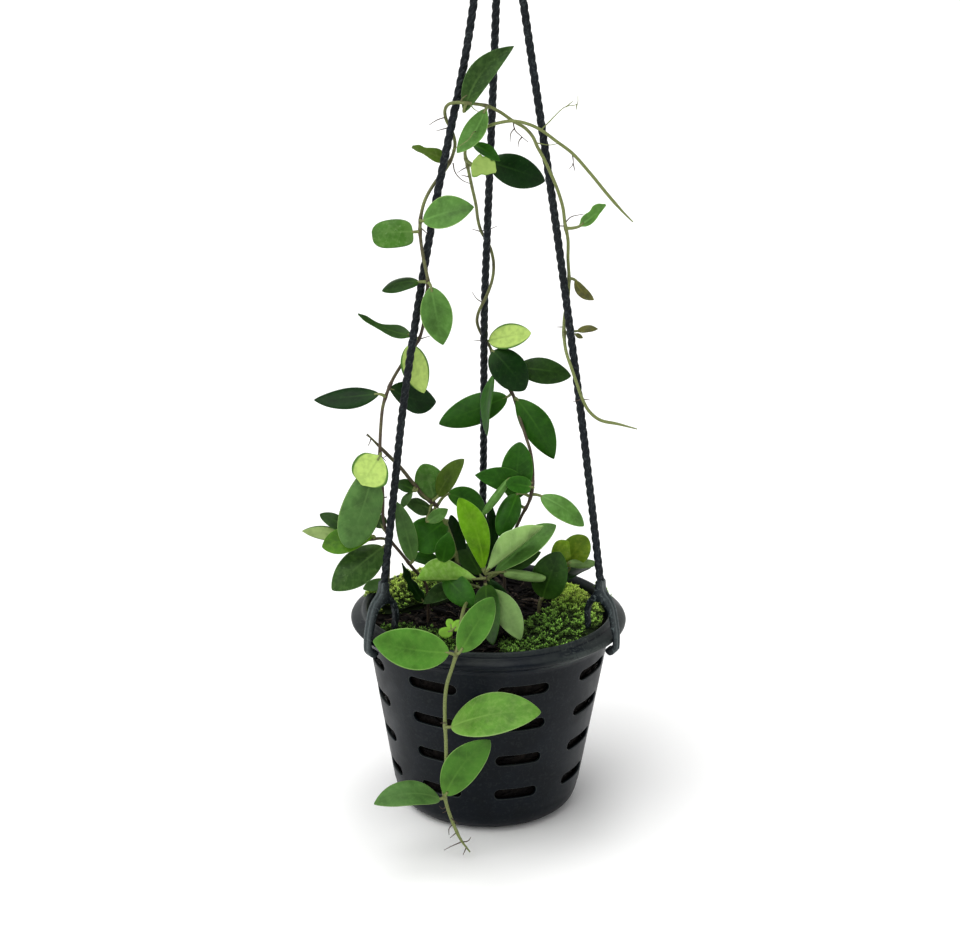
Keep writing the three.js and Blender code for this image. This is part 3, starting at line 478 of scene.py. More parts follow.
pot_skin = Skin()
band_edges = [BAND_TOP] + [SLOT_TOP - SLOT_STEP * (k + 0.5) for k in range(SLOT_ROWS - 1)] + [BAND_FOOT]
for row in range(SLOT_ROWS):
    level, band = SLOT_TOP - SLOT_STEP * row, band_ring(band_edges[row + 1], band_edges[row])
    rings = [wall_ring(level, band, share, SLOT_OUTER_EDGE, 0) for share in OUTSIDE_RINGS]
    rings += [wall_ring(level, band, 0, margin, depth) for margin, depth in SLOT_EDGE]
    rings += [wall_ring(level, band, share, SLOT_INNER_EDGE, POT_WALL) for share in INSIDE_RINGS]
    # The rims of the slots carry a painted highlight.
    rubbed = [SLOT_EDGE_HIGHLIGHT * (k - len(OUTSIDE_RINGS) in (0, 1)) for k, line in enumerate(rings) for _ in line]
    for column in range(SLOT_COLUMNS):
        middle = SLOT_TURN + 360 / SLOT_COLUMNS * column
        points = [polar(pot_radius(z) - depth, middle + turn, z) for line in rings for turn, z, depth in line]
        pot_skin.add(points, wall_faces(len(rings), len(band)), worn=0.0, rubbed=rubbed)
wall_sides = SLOT_COLUMNS * ALONG_SIDE
pot_round = [SLOT_TURN + 180 / SLOT_COLUMNS + 360 * k / wall_sides for k in range(wall_sides)]
band_inside = pot_radius(BAND_TOP) - POT_WALL
lip_line = [(pot_radius(BAND_TOP), BAND_TOP), *LIP_OUTLINE, (band_inside, BAND_TOP)]
# Handling has worn the lip most at its right, where it also carries a painted highlight, and a little at its
# left.
right_hand = [math.sin(math.radians(a)) for a in pot_round]
lip_wear_and_highlight = [min(1, max(0, 3.2 * s - 0.9, -2.5 * s - 1.4)) for s in right_hand]
rubbed = []
# The crest of the lip and the side of the lip at its right carry a painted highlight.
for r, z in lip_line:
    crest, on_side = CREST_HIGHLIGHT * (z > CREST_FROM), r > LIP_SIDE_FROM and z < LIP_SIDE_TOP
    rubbed += [crest + LIP_SIDE_HIGHLIGHT * (on_side and s > 0) * wear for s, wear in zip(right_hand, lip_wear_and_highlight)]
worn = [LIP_WORN * (r > LIP_SIDE_FROM) * wear for r, _ in lip_line for wear in lip_wear_and_highlight]
pot_skin.add(*turned(lip_line, pot_round), worn=worn, rubbed=rubbed)
foot_line = [(pot_radius(BAND_FOOT), BAND_FOOT), *FOOT_OUTLINE]
floor_line = [*FLOOR_INSIDE, (pot_radius(BAND_FOOT) - POT_WALL, BAND_FOOT)]
for line in (foot_line, floor_line):
    pot_skin.add(*turned(line, pot_round), worn=0.0, rubbed=0.0)
for r, azimuth in [(0, 0)] + [(DRAIN_RING, 360 / DRAIN_COUNT * k) for k in range(DRAIN_COUNT)]:
    at = polar(r, azimuth, 0)
    hole = [at + polar(DRAIN_RADIUS, 360 / DRAIN_SIDES * k, z)
            for z in FLOOR_LEVELS for k in range(DRAIN_SIDES)]
    pot_skin.add(hole, wall_faces(2, DRAIN_SIDES), worn=0.0, rubbed=0.0)

pot_plastic = finish("pot_plastic", plastic_effect, 0.18, Plastic=colour("060f18"), Dust=colour("6c746e"),
                     Scuffs=0.05, Settled=0.16, Gloss=0.38)
basket = pot_skin.piece("slotted_pot", "pot", "pot", [pot_plastic])
mesh = bmesh.new()
mesh.from_mesh(basket.data)
bmesh.ops.remove_doubles(mesh, verts=mesh.verts, dist=2e-5)
for z in FLOOR_LEVELS:
    level = FOOT_HEIGHT + z / 1000
    open_edges = [e for e in mesh.edges if e.is_boundary and all(abs(v.co.z - level) < 1e-5 for v in e.verts)]
    bmesh.ops.triangle_fill(mesh, use_beauty=True, use_dissolve=False, edges=open_edges)
bmesh.ops.recalc_face_normals(mesh, faces=mesh.faces)
for face in mesh.faces:
    face.smooth = abs(face.normal.z) < 0.999 or face.calc_center_median().z > FOOT_HEIGHT + 0.01
mesh.to_mesh(basket.data)
mesh.free()

# The growing medium is coarse bark, husk chips and fibre, packed into the pot up to its lip and heaped a
# little in the middle. Loose chips and fibres lie on it, and its chips show in the slots.
MEDIUM_FOOT, MEDIUM_FOOT_RADIUS, MEDIUM_GAP = 5.3, 39, 0.3
MEDIUM_EDGE, MEDIUM_TOP, MOUND_RADIUS = 104, 108, 26
LUMP_HIGH, LUMP_WIDE, CRUMB_SHARE, CRUMB_WIDE = 0.9, 7, 0.6, 2.6
SIDE_FOOT, SIDE_TOP, TOP_RADIUS, MEDIUM_RADIUS = 6, 103.4, 64.3, 62
SLOT_HOLLOW, HOLLOW_FADE, NARROW_BELOW, NARROWING = 1.2, 6, 14, 0.9
MEDIUM_SIDES, SIDE_ROWS, TOP_ROWS = 160, 90, 52
CHIP_COUNT, CHIP_REACH, CHIP_LONG, CHIP_LIFT = 520, 61, (3, 13), (-0.3, 0.9)
CHUNK_COUNT, CHUNK_RADIUS, CHUNK_AZIMUTH, CHUNK_LONG, CHUNK_LIFT = 46, (8, 54), (-110, 60), (9, 18), (0.6, 2)
CHIPS_IN_A_SLOT, IN_SLOT_TURN, IN_SLOT_DEPTH, IN_SLOT_RISE = 7, (-11, 11), (1.0, 2.6), (-3, 3)
FIBRE_COUNT, FIBRE_REACH, FIBRE_PLACES, FIBRE_STEP, FIBRE_RADIUS = 170, 58, 6, 2.2, (0.15, 0.35)
# Few chips are pale. A higher power makes pale ones rarer.
CHIP_POWER, CHUNK_POWER, FIBRE_POWER = 9, 6, 2
# Sticks and husks that lie on the medium: from one point of the picture to another, width and paleness.
LITTER = [
    (429, 609, 448, 614, 1.8, 0.95), (440, 621, 460, 608, 2.4, 0.6), (421, 605, 438, 629, 1.2, 0.7),
    (388, 588, 413, 613, 4, 0.3), (400, 612, 419, 622, 4.5, 0.25), (412, 600, 425, 618, 5, 0.35),
    (509, 588, 519, 600, 3, 0.6), (529, 599, 541, 604, 2, 0.9), (495, 577, 511, 603, 4.5, 0.4),
    (500, 574, 506, 582, 3, 0.8), (562, 590, 567, 606, 3.5, 0.35), (583, 622, 588, 632, 1.6, 0.9),
    (424, 617, 436, 607, 2.2, 0.4), (446, 604, 455, 611, 2, 0.5), (404, 606, 411, 600, 2.6, 0.5),
]
LITTER_THICK, LITTER_LIFT = 1.2, 0.6
PICTURE_CENTRE = (480, 466)
# The ranges from which each bit of bark gets its width, thickness, heading and slope. The bits in the
# slots have ranges for length, width and thickness.
LOOSE_CHIP = ((1.5, 4), (0.7, 1.8), (0, 6.3), (-0.3, 0.3))
CHUNK = ((3, 6), (1, 2.4), (0, 6.3), (-0.35, 0.35))
CHIP_IN_SLOT = ((3, 8), (0.8, 1.6), (0.7, 2.2))
# A splinter's sections from end to end: their place as a share of its length, and their size.
SPLINTER_SECTIONS = ((-0.5, 0.45), (-0.3, 0.95), (0.1, 1.0), (0.4, 0.8), (0.5, 0.35))


def bark_look():
    """Rough fibrous matter whose colour changes from piece to piece by the value named shade."""
    group, given = effect("bark_and_fibre", ("Dark", "Pale"), ("Grain",))
    coarse, fine = speckle(group, 380, 5), speckle(group, 2200, 3)
    piece = mixed(group, point_value(group, "shade"), given["Dark"], given["Pale"])
    blotched = mixed(group, between(group, coarse, 0.3, 0.7), given["Dark"], piece)
    shade = mixed(group, between(group, fine, 0.35, 0.6, 0.0, 0.6), blotched, given["Dark"])
    height = maths(group, "ADD", coarse, maths(group, "MULTIPLY", fine, given["Grain"]))
    return put_out(group, shade, between(group, coarse, 0.2, 0.8, 0.98, 0.75), height, 0.7, 0.0008)


bark = finish("bark", bark_look(), 0.15, Dark=colour("060404"), Pale=colour("7a6a5c"), Grain=0.5)
medium_draw = random.Random(11)
some = medium_draw.uniform


def medium_height(x, y):
    """How high the medium stands at a place, with its heap and lumps."""
    heap = max(0, 1 - math.hypot(x, y) / MOUND_RADIUS)
    lumps = noise.noise(Vector((x, y, 3)) / LUMP_WIDE)
    lumps += CRUMB_SHARE * noise.noise(Vector((x, y, 9)) / CRUMB_WIDE)
    return MEDIUM_EDGE + (MEDIUM_TOP - MEDIUM_EDGE) * (1 - (1 - heap) ** 2) + LUMP_HIGH * lumps


def medium_side(z):
    """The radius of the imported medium, a little hollow behind the slots."""
    hollow = min(1, (SIDE_TOP - z) / HOLLOW_FADE) * SLOT_HOLLOW
    return pot_radius(z) - POT_WALL - MEDIUM_GAP - max(0, NARROW_BELOW - z) * NARROWING - hollow


outline = [(r, MEDIUM_FOOT) for r in (0.01, 20, MEDIUM_FOOT_RADIUS)]
outline += [(medium_side(z), z) for z in np.linspace(SIDE_FOOT, SIDE_TOP, SIDE_ROWS)]
outline += [(r, MEDIUM_EDGE) for r in np.linspace(TOP_RADIUS, 0.01, TOP_ROWS)]
points, faces = turned(outline, np.linspace(0, 360, MEDIUM_SIDES, endpoint=False))
for p in points:
    if p.z > (SIDE_TOP + MEDIUM_EDGE) / 2:
        p.z = medium_height(p.x, p.y)
    elif p.z > (MEDIUM_FOOT + SIDE_FOOT) / 2:
        r = math.hypot(p.x, p.y)
        pull = 1 - 0.9 * abs(noise.noise(p / 3.2)) / r - 0.7 * abs(noise.noise(p / 1.1)) / r
        p.x, p.y = p.x * pull, p.y * pull
lump = Skin()
lump.add(points, faces, shade=[0.05 + 0.08 * noise.noise(p / 4) for p in points])
lump.piece("medium_lump", "medium", "growing_medium", [bark])

chips = Skin()


def chip(at, long, wide, thick, heading, slope, shade):
    """Adds a splinter of bark: a five-sided lath with ragged ends."""
    turn = Matrix.Rotation(heading, 3, "Z") @ Matrix.Rotation(slope, 3, "Y")
    points = []
    for x, size in SPLINTER_SECTIONS:
        for k in range(5):
            a = math.radians(72 * k)
            half = size * some(0.75, 1.15) / 2
            place = (long * (x + some(-0.04, 0.04)), wide * half * math.cos(a), thick * half * math.sin(a))
            points.append(at + turn @ Vector(place))
    ends = [(4, 3, 2, 1, 0), (20, 21, 22, 23, 24)]
    chips.add(points, wall_faces(5, 5) + ends, shade=shade)


def seen(x, y, forward):
    """The place behind a point of the picture, so far in front of the pot's axis."""
    ray = ahead + right * ((x - PICTURE_CENTRE[0]) / FOCAL_POINTS)
    ray += above * ((PICTURE_CENTRE[1] - y) / FOCAL_POINTS)
    return EYE + ray * ((-forward - EYE.y) / ray.y)


def on_the_medium(x, y):
    """The place on the medium behind a point of the picture."""
    near, far = 60, -60
    for _ in range(12):
        half = (near + far) / 2
        place = seen(x, y, half)
        if place.z > medium_height(place.x, place.y):
            near = half
        else:
            far = half
    return place


for _ in range(CHIP_COUNT):
    r = CHIP_REACH * math.sqrt(medium_draw.random())
    place = polar(r, some(0, 360), 0)
    long = min(some(*CHIP_LONG), MEDIUM_RADIUS + 5 - r)
    place.z = medium_height(place.x, place.y) + some(*CHIP_LIFT)
    chip(place, long, *(some(*span) for span in LOOSE_CHIP), medium_draw.random() ** CHIP_POWER)
for _ in range(CHUNK_COUNT):
    place = polar(some(*CHUNK_RADIUS), some(*CHUNK_AZIMUTH), 0)
    place.z = medium_height(place.x, place.y) + some(*CHUNK_LIFT)
    chip(place, some(*CHUNK_LONG), *(some(*span) for span in CHUNK), some(0.2, 1) ** CHUNK_POWER)
for row in range(SLOT_ROWS):
    level = SLOT_TOP - SLOT_STEP * row
    for column in range(SLOT_COLUMNS * CHIPS_IN_A_SLOT):
        azimuth = SLOT_TURN + 360 / SLOT_COLUMNS * (column // CHIPS_IN_A_SLOT) + some(*IN_SLOT_TURN)
        r = pot_radius(level) - POT_WALL - some(*IN_SLOT_DEPTH)
        place = polar(r, azimuth, level + some(*IN_SLOT_RISE))
        heading = math.radians(azimuth) + some(-0.15, 0.15)
        # Chips in the slots are painted almost black, as the shade in the slots.
        chip(place, *(some(*span) for span in CHIP_IN_SLOT), heading, some(-0.5, 0.5),
             0.16 * medium_draw.random() ** 3)
for _ in range(FIBRE_COUNT):
    start = polar(FIBRE_REACH * math.sqrt(medium_draw.random()), some(0, 360), 0)
    heading = some(0, 6.3)
    line = []
    for k in range(FIBRE_PLACES):
        p = start + Vector((math.cos(heading), math.sin(heading), 0)) * (FIBRE_STEP * k)
        heading += some(-0.5, 0.5)
        p.z = medium_height(p.x, p.y) + 0.8 + 1.6 * math.sin(k / (FIBRE_PLACES - 1) * math.pi) * some(0.3, 1)
        line.append(p)
    if max(math.hypot(p.x, p.y) for p in line) < MEDIUM_RADIUS:
        points, faces = swept(line, ring(4, some(*FIBRE_RADIUS)))
        chips.add(points, faces, shade=some(0, 1) ** FIBRE_POWER)
for x, y, to_x, to_y, wide, shade in LITTER:
    ends = [on_the_medium(x, y), on_the_medium(to_x, to_y)]
    way = ends[1] - ends[0]
    chip((ends[0] + ends[1]) / 2 + Vector((0, 0, LITTER_LIFT)), way.length, wide, LITTER_THICK,
         math.atan2(way.y, way.x), -math.asin(way.z / way.length), shade)
chips.piece("bark_chips", "medium", "growing_medium", [bark])

# Three cushions of living moss have grown over the medium. Each is a low dome of close shoots, and each
# shoot is a star of narrow pointed leaves, bright at their tips and painted dark with shade in the gaps.
# A cushion spans two azimuths, with an inner radius and a strength of painted light at each, low where
# leaves shade it and high where the sun falls. Some creep onto the lip.
Cushion = namedtuple("Cushion", "name start end inner grow seed light lip", defaults=(None,))
CUSHIONS = [
    Cushion("moss_right", 6, 142, (17, 47), 6.5, 1, (0.7, 4.6), (100, 115)),
    Cushion("moss_front_left", -76, -22, (36, 36), 5, 2, (0.6, 0.8)),
    Cushion("moss_back_left", -172, -100, (34, 34), 12.5, 3, (2.3, 2.3), (-117, -101)),
]
MOSS_RADIUS, MOSS_FLOOR, MOSS_EDGE, MOSS_STEPS = 62.5, 104.3, 2.2, 26
CLIP_LEG_RADIUS, CLIP_LEG_ROOM = 60, 3.2
STRAY_SHARE, STRAY_REACH = 0.18, 2.5
# How many shoots of a kind stand on a square millimetre, their leaves, the ranges of their sizes, and how
# bright they are; the small low shoots are painted dark with shade.
Shoot = namedtuple("Shoot", "per_mm2 leaves tall reach wide bright")
BIG_SHOOT = Shoot(0.3, 10, (1.2, 3.4), (1.1, 2.1), (0.26, 0.46), (0.5, 1.1))
SMALL_SHOOT = Shoot(0.55, 6, (0.3, 1.4), (0.8, 1.4), (0.16, 0.3), (0.02, 0.2))
LIP_SHOOTS, LIP_FROM, LIP_SPAN, LIP_LEVEL, LIP_CREST = 70, 65.8, 4.2, 112.6, 68
GAP_BELOW, GAP_SHARE = -0.08, 0.8
LEAF_TURN, LEAN_SPREAD = 2.4, 0.25
# A moss leaf's half width at its foot and where it is widest, as shares, and how bright its points are:
# dark at the foot with painted shade.
ROOT_HALF, LEAF_MIDDLE, LEAF_TIPS = 0.5, 0.55, (0.08, 0.08, 0.65, 0.65, 1)


def moss_look():
    """Moss from its heart, painted dark with shade, to its bright tips, by the value named tip, and yellower
    where painted sun falls.
    """
    group, given = effect("moss_shoots", ("Heart", "Tip", "Sunny"), ())
    tips = mixed(group, point_value(group, "sunny"), given["Tip"], given["Sunny"])
    shade = mixed(group, point_value(group, "tip"), given["Heart"], tips)
    rough = between(group, speckle(group, 90, 3), 0.2, 0.8, 0.75, 0.9)
    return put_out(group, shade, rough, speckle(group, 2500), 0.3, 0.0004)


moss_green = finish("moss_green", moss_look(), 0.2, Heart=colour("050f03"), Tip=colour("c0ff76"),
                    Sunny=colour("e4ff80"))


def cushion_place(cushion, u, v):
    """A place on a cushion's skin: u runs from its first to its last azimuth, v from the middle outward."""
    edge = math.sin(math.pi * (0.04 + 0.92 * u)) ** 0.4
    first, last = cushion.inner
    inner = MOSS_RADIUS + (first + (last - first) * u**2 - MOSS_RADIUS) * edge
    wave = 1 + 0.14 * math.sin(9 * u + 2.1 * cushion.seed) * math.cos(5 * v + cushion.seed)
    dome = math.sin(math.pi * (0.06 + 0.58 * v)) ** 0.5 * edge * wave
    place = polar(inner * (1 - v) + MOSS_RADIUS * v, cushion.start + (cushion.end - cushion.start) * u, 0)
    bumps = 0.9 * noise.noise(Vector((place.x, place.y, cushion.seed)) / 4)
    place.z = MOSS_FLOOR + 0.5 + (cushion.grow - MOSS_EDGE) * dome + bumps
    return place


def cushion_body(cushion):
    """Points and faces of the closed dome under a cushion's shoots."""
    rows, n = round((cushion.end - cushion.start) * 0.9), MOSS_STEPS + 1
    top = [cushion_place(cushion, i / rows, j / MOSS_STEPS) for i in range(rows + 1) for j in range(n)]
    quads = [(i * n + j, i * n + j + 1, (i + 1) * n + j + 1, (i + 1) * n + j)
             for i in range(rows) for j in range(MOSS_STEPS)]
    rim = list(range(n)) + [i * n + n - 1 for i in range(1, rows + 1)]
    rim += [rows * n + j for j in range(n - 2, -1, -1)] + [i * n for i in range(rows - 1, 0, -1)]
    faces = [tuple(reversed(quad)) for quad in quads] + [tuple(i + len(top) for i in quad) for quad in quads]
    faces += [(a + len(top), b + len(top), b, a) for a, b in zip(rim, rim[1:] + rim[:1])]
    return top + [Vector((p.x, p.y, MOSS_FLOOR)) for p in top], faces


def in_the_open(place):
    """Moss keeps clear of the clips' legs."""
    legs = [polar(CLIP_LEG_RADIUS, azimuth, 0) for azimuth in CLIP_AZIMUTH.values()]
    return all(math.hypot(place.x - leg.x, place.y - leg.y) > CLIP_LEG_ROOM for leg in legs)


def patchy(place, seed, spread):
    """A value that changes smoothly from place to place, about 0."""
    return noise.noise(Vector((place.x, place.y, seed)) / spread)


def grow_shoot(draw, kind, foot, lean, tall, bright):
    """Points and faces of a shoot at its foot, and how bright each point is."""
    points, faces, tips = [], [], []
    for k in range(kind.leaves):
        a = LEAF_TURN * k + draw.uniform(0, 1)
        climb = k / kind.leaves
        out = Vector((math.cos(a), math.sin(a), 0.1 + 1.1 * climb)).normalized()
        side = out.cross(lean).normalized() * draw.uniform(*kind.wide)
        root = foot + lean * (tall * (0.4 + 0.6 * climb) - 0.2)
        reach = draw.uniform(*kind.reach) * (1.15 - 0.5 * climb)
        start, middle = len(points), root + out * reach * LEAF_MIDDLE
        points += [root - side * ROOT_HALF, root + side * ROOT_HALF, middle + side, middle - side]
        points.append(root + out * reach + lean * 0.2)
        faces += [(start, start + 1, start + 2, start + 3), (start + 3, start + 2, start + 4)]
        # The lower leaves of a shoot are painted darker, with the shade of the leaves above them.
        tips += [share * bright * (0.55 + 0.45 * climb) for share in LEAF_TIPS]
    return points, faces, tips


for cushion in CUSHIONS:
    draw = random.Random(cushion.seed)
    moss = Skin()
    moss.add(*cushion_body(cushion), tip=0.02, sunny=0.0)
    inner = cushion.inner[0] * 0.65 + cushion.inner[1] * 0.35
    area = math.pi * (MOSS_RADIUS**2 - inner**2) * (cushion.end - cushion.start) / 360
    kinds = [kind for kind in (BIG_SHOOT, SMALL_SHOOT) for _ in range(round(area * kind.per_mm2))]
    shoots = [(kind, False) for kind in kinds] + [(BIG_SHOOT, True)] * (LIP_SHOOTS if cushion.lip else 0)
    for kind, on_lip in shoots:
        u, v = draw.random(), draw.random()
        foot = cushion_place(cushion, u, v)
        if on_lip:
            foot = polar(LIP_FROM + LIP_SPAN * draw.random() ** 2, draw.triangular(*cushion.lip), 0)
            foot.z = LIP_LEVEL - max(0, foot.length - LIP_CREST) * 1.1
        lean = Vector((draw.gauss(0, LEAN_SPREAD), draw.gauss(0, LEAN_SPREAD), 1)).normalized()
        tall = draw.uniform(*kind.tall)
        lit = 0.55 + 0.9 * patchy(foot, 40 + cushion.seed, 7)
        # Painted light and shade: the cushion's light, dimmer towards its middle where the crown shades it.
        light = (cushion.light[0] + (cushion.light[1] - cushion.light[0]) * u**3) * (0.5 + 0.6 * v)
        bright = min(1, max(0.03, draw.uniform(*kind.bright) * (0.45 + lit) * light))
        if draw.random() < STRAY_SHARE and not on_lip:
            foot += Vector((draw.gauss(0, STRAY_REACH), draw.gauss(0, STRAY_REACH), 0))
            foot.z = min(foot.z, medium_height(foot.x, foot.y) + 0.6)
        in_a_gap = kind is BIG_SHOOT and patchy(foot, 70 + cushion.seed, 1.9) < GAP_BELOW
        if in_a_gap and draw.random() < GAP_SHARE:
            continue
        if not in_the_open(foot) or not on_lip and math.hypot(foot.x, foot.y) > MOSS_RADIUS + 0.1:
            continue
        points, faces, tips = grow_shoot(draw, kind, foot, lean, tall, bright)
        # Where the painted light is strong, the tips are painted brighter still.
        painted_sun = 0.12 * max(0, light - 1)
        moss.add(points, faces, tip=[min(1, tip + painted_sun) for tip in tips],
                 sunny=min(1, max(0, 0.7 * light - 0.5)))
    moss.piece(f"{cushion.name}_shoots", "moss", cushion.name, [moss_green])

# The plant is a hoya with wiry stems and thick, waxy, pointed leaves in pairs at the stems' joints. A
# stem is swollen a little at each joint, and thin brown roots come out of it there.
Leaf = namedtuple("Leaf", "look base tip wide turn arch cup bow blunt peak roll fold left right",
                  defaults=(0, 0, 0, 0, 0.7, 0.47, 0, 0, None, None))
STEM_SPACING, STALK_SPACING, ROOT_SPACING, STEM_SIDES = 1.2, 0.7, 0.8, 10
MAIN_SHARE, TWIG_SHARE, JOINT_SWELL, JOINT_REACH, ROOT_THICK = 0.84, 0.75, 0.3, 1.8, 0.55
ROOTED_HEIGHTS = (94.6, 98, 102, 106.5)
TIP_TAPER, TIP_SHARE = 14, 0.35
STALK_RADIUS, STALK_IN_BLADE, STALK_BEND, STALK_TAPER, ROOT_TAPER = 0.8, 2.5, 1.5, (1.15, 0.8), (1.2, 0.5)
TWIG_AGE, JOINT_CORK, STALK_AGE, ROOT_AGE, FRESH_ROOT_AGE = 0.6, 0.5, 0.2, 1.0, 0.1
# A blade's points, its thickness, the wave in its edges, the groove of its midrib, and its narrow tip.
BLADE_ROWS, BLADE_HALF = 24, 5
BLADE_THICK, EDGE_THINNING, NARROW_SHARE, FULL_THICK_HALF = 1.15, 0.35, 0.35, 3
RIPPLE_HIGH, RIPPLE_WAVES, RIPPLE_HALF = (0.1, 0.35), 9, 4
RIB_DEPTH, RIB_HALF = 0.22, 0.7
TIP_NARROWING, TIP_POWER, TIP_HALF, UNEVEN_HALF = 0.25, 14, 0.12, 0.15
# Leaf colours of this plant: upper face, back, midrib and margin, then flecks, blotches and gloss.
# The deep look is dark partly with painted shade, and the bright backs of the under and ragged looks are
# painted light shining through the leaves.
LEAF_COLOURS = {
    "deep": ("0a2e05", "4c6832", "2c4c1c", "1c3c12", 0.03, 0.15, 0.34),
    "dark": ("264614", "607c38", "466c26", "3c6428", 0.05, 0.2, 0.38),
    "shade": ("4e723a", "708850", "64864a", "708c50", 0.06, 0.3, 0.42),
    "dull": ("304e1e", "7c9050", "5c7c40", "648450", 0.1, 0.3, 0.45),
    "green": ("2b5c12", "709044", "487c26", "4c7c2c", 0.04, 0.2, 0.38),
    "mid": ("547e38", "88a454", "709c52", "94b46c", 0.06, 0.35, 0.4),
    "green_mid": ("4f802e", "809c4c", "64903c", "88ac60", 0.05, 0.3, 0.38),
    "mottled": ("4c7a2c", "88a454", "709450", "547840", 0.25, 0.45, 0.45),
    "light": ("659638", "94b060", "86ac56", "9cbc74", 0.06, 0.4, 0.4),
    "vivid": ("6ca408", "98b848", "86b82c", "8cbc4c", 0.05, 0.5, 0.36),
    "vivid_dark": ("48780e", "88a83c", "709c28", "648c30", 0.04, 0.4, 0.38),
    "glaucous": ("759556", "90a86c", "86a462", "9cb480", 0.08, 0.4, 0.5),
    "pale": ("8aab65", "98b074", "9cb878", "a0bc88", 0.08, 0.3, 0.5),
    "bright": ("7caa42", "94b060", "a4c870", "a0c078", 0.06, 0.5, 0.4),
    "olive": ("486218", "74783e", "5c7030", "606c38", 0.1, 0.4, 0.45),
    "brownish": ("5c5e3a", "7c703c", "78783c", "504828", 0.2, 0.6, 0.5),
    "mottled_yellow": ("6b8c22", "8ca040", "8ca434", "749444", 0.1, 0.8, 0.42),
    "under": ("3c6828", "b0c870", "a4bc64", "4c7430", 0.03, 0.2, 0.45),
    "under_dull": ("385a28", "94a86c", "8ca05c", "30481e", 0.03, 0.3, 0.45),
    "ragged": ("8cb355", "bcd87c", "b4c888", "6c8c48", 0.1, 0.5, 0.5),
    "seedling": ("7cac3c", "94b850", "8cb848", "80ac40", 0.05, 0.3, 0.5),
}
SILVER, DARK_CORK = (0.3, 0.42, 0.2, 1), (0.02, 0.014, 0.008, 1)


def leaf_look():
    """Waxy leaf tissue: upper face, paler back, midrib, faint side veins, flecks and a thin margin."""
    group, given = effect("waxy_leaf", ("Face", "Back", "Vein", "Margin"), ("Flecks", "Blotches", "Gloss"))

    def within(value, *limits):
        return between(group, value, *limits)

    def times(a, b):
        return maths(group, "MULTIPLY", a, b)

    def over(face, share, shade):
        return mixed(group, share, face, shade)

    along, across, upper, tone = (point_value(group, name) for name in ("along", "across", "upper", "tone"))
    patches, mottles = speckle(group, 110, 3), speckle(group, 420, 5)
    fine, flecks = speckle(group, 1900, 3), speckle(group, 700, 2)
    aside = maths(group, "ABSOLUTE", point_value(group, "offset"))
    face = over(given["Face"], times(within(mottles, 0.4, 0.68), given["Blotches"]), given["Vein"])
    face = over(face, within(patches, 0.25, 0.6, 0.35, 0.0), BLACK)
    face = over(face, within(across, 0.1, 0.75, 0.16, 0.0), BLACK)
    face = over(face, times(within(flecks, 0.64, 0.72), given["Flecks"]), SILVER)
    rib = times(within(aside, 0.15, 0.8, 0.5, 0.0), within(along, 0.1, 0.75, 1.0, 0.15))
    face = over(face, rib, given["Vein"])
    face = over(face, within(along, 0.0, 0.3, 0.5, 0.0), given["Vein"])
    branch = maths(group, "SUBTRACT", times(along, 7.0), times(across, 1.6))
    branch = within(maths(group, "PINGPONG", branch, 0.5), 0.0, 0.09, 0.12, 0.0)
    face = over(face, branch, given["Vein"])
    face = over(face, times(within(across, 0.925, 0.98), 0.8), given["Margin"])
    back = over(given["Back"], within(mottles, 0.35, 0.7, 0.0, 0.25), given["Face"])
    back = over(back, times(rib, 0.5), given["Face"])
    back = over(back, within(across, 0.82, 0.92, 0.0, 0.9), given["Face"])
    skin = over(back, within(upper, 0.45, 0.55), face)
    lit = {"Hue": 0.5, "Saturation": 1.0, "Value": within(tone, 0, 1, 0.86, 1.14), "Color": skin}
    shade = add_node(group, "HueSaturation", lit).outputs["Color"]
    rough = maths(group, "ADD", given["Gloss"], within(patches, 0.3, 0.7, -0.04, 0.07))
    rough = maths(group, "ADD", rough, within(upper, 0.45, 0.55, 0.15, 0.0))
    height = maths(group, "ADD", times(fine, 0.25), times(patches, 0.8))
    height = maths(group, "SUBTRACT", height, times(branch, 2.0))
    return put_out(group, shade, rough, height, 0.35, 0.0004)


def stem_look():
    """Young green stem that goes brown and corky in patches."""
    group, given = effect("stem_bark", ("Green", "Cork"), ())
    patches, fine = speckle(group, 160, 4), speckle(group, 1500, 3)
    corky = maths(group, "ADD", point_value(group, "age"), maths(group, "MULTIPLY", patches, 0.6))
    bark = mixed(group, between(group, corky, 0.45, 1.0), given["Green"], given["Cork"])
    shade = mixed(group, between(group, fine, 0.45, 0.75, 0.0, 0.4), bark, DARK_CORK)
    return put_out(group, shade, between(group, fine, 0.3, 0.7, 0.5, 0.75), fine, 0.4, 0.0003)


leaf_effect = leaf_look()
leaf_skins = {}
for look, (face, back, vein, margin, flecks, blotches, gloss) in LEAF_COLOURS.items():
    leaf_skins[look] = finish(f"leaf_{look}", leaf_effect, 0.15, Face=colour(face), Back=colour(back),
                              Vein=colour(vein), Margin=colour(margin), Flecks=flecks, Blotches=blotches,
                              Gloss=gloss)
stem_skin = finish("stem_skin", stem_look(), 0.5, Green=colour("76804a"), Cork=colour("46382c"))


def nearest_on(lines, place):
    """The place on the stems that is nearest to a place."""
    line = np.concatenate(lines)
    return Vector(line[np.argmin(np.linalg.norm(line - np.array(place), axis=1))])


def smooth_share(shares, t):
    """The value at t, from 0 to 1, of a smooth curve through evenly spaced values."""
    x = t * (len(shares) - 1)
    k = min(int(x), len(shares) - 2)
    before, a, b, after = (shares[min(max(j, 0), len(shares) - 1)] for j in (k - 1, k, k + 1, k + 2))
    x -= k
    bent = x * (2 * before - 5 * a + 4 * b - after + x * (3 * (a - b) + after - before))
    return a + 0.5 * x * (b - before + bent)


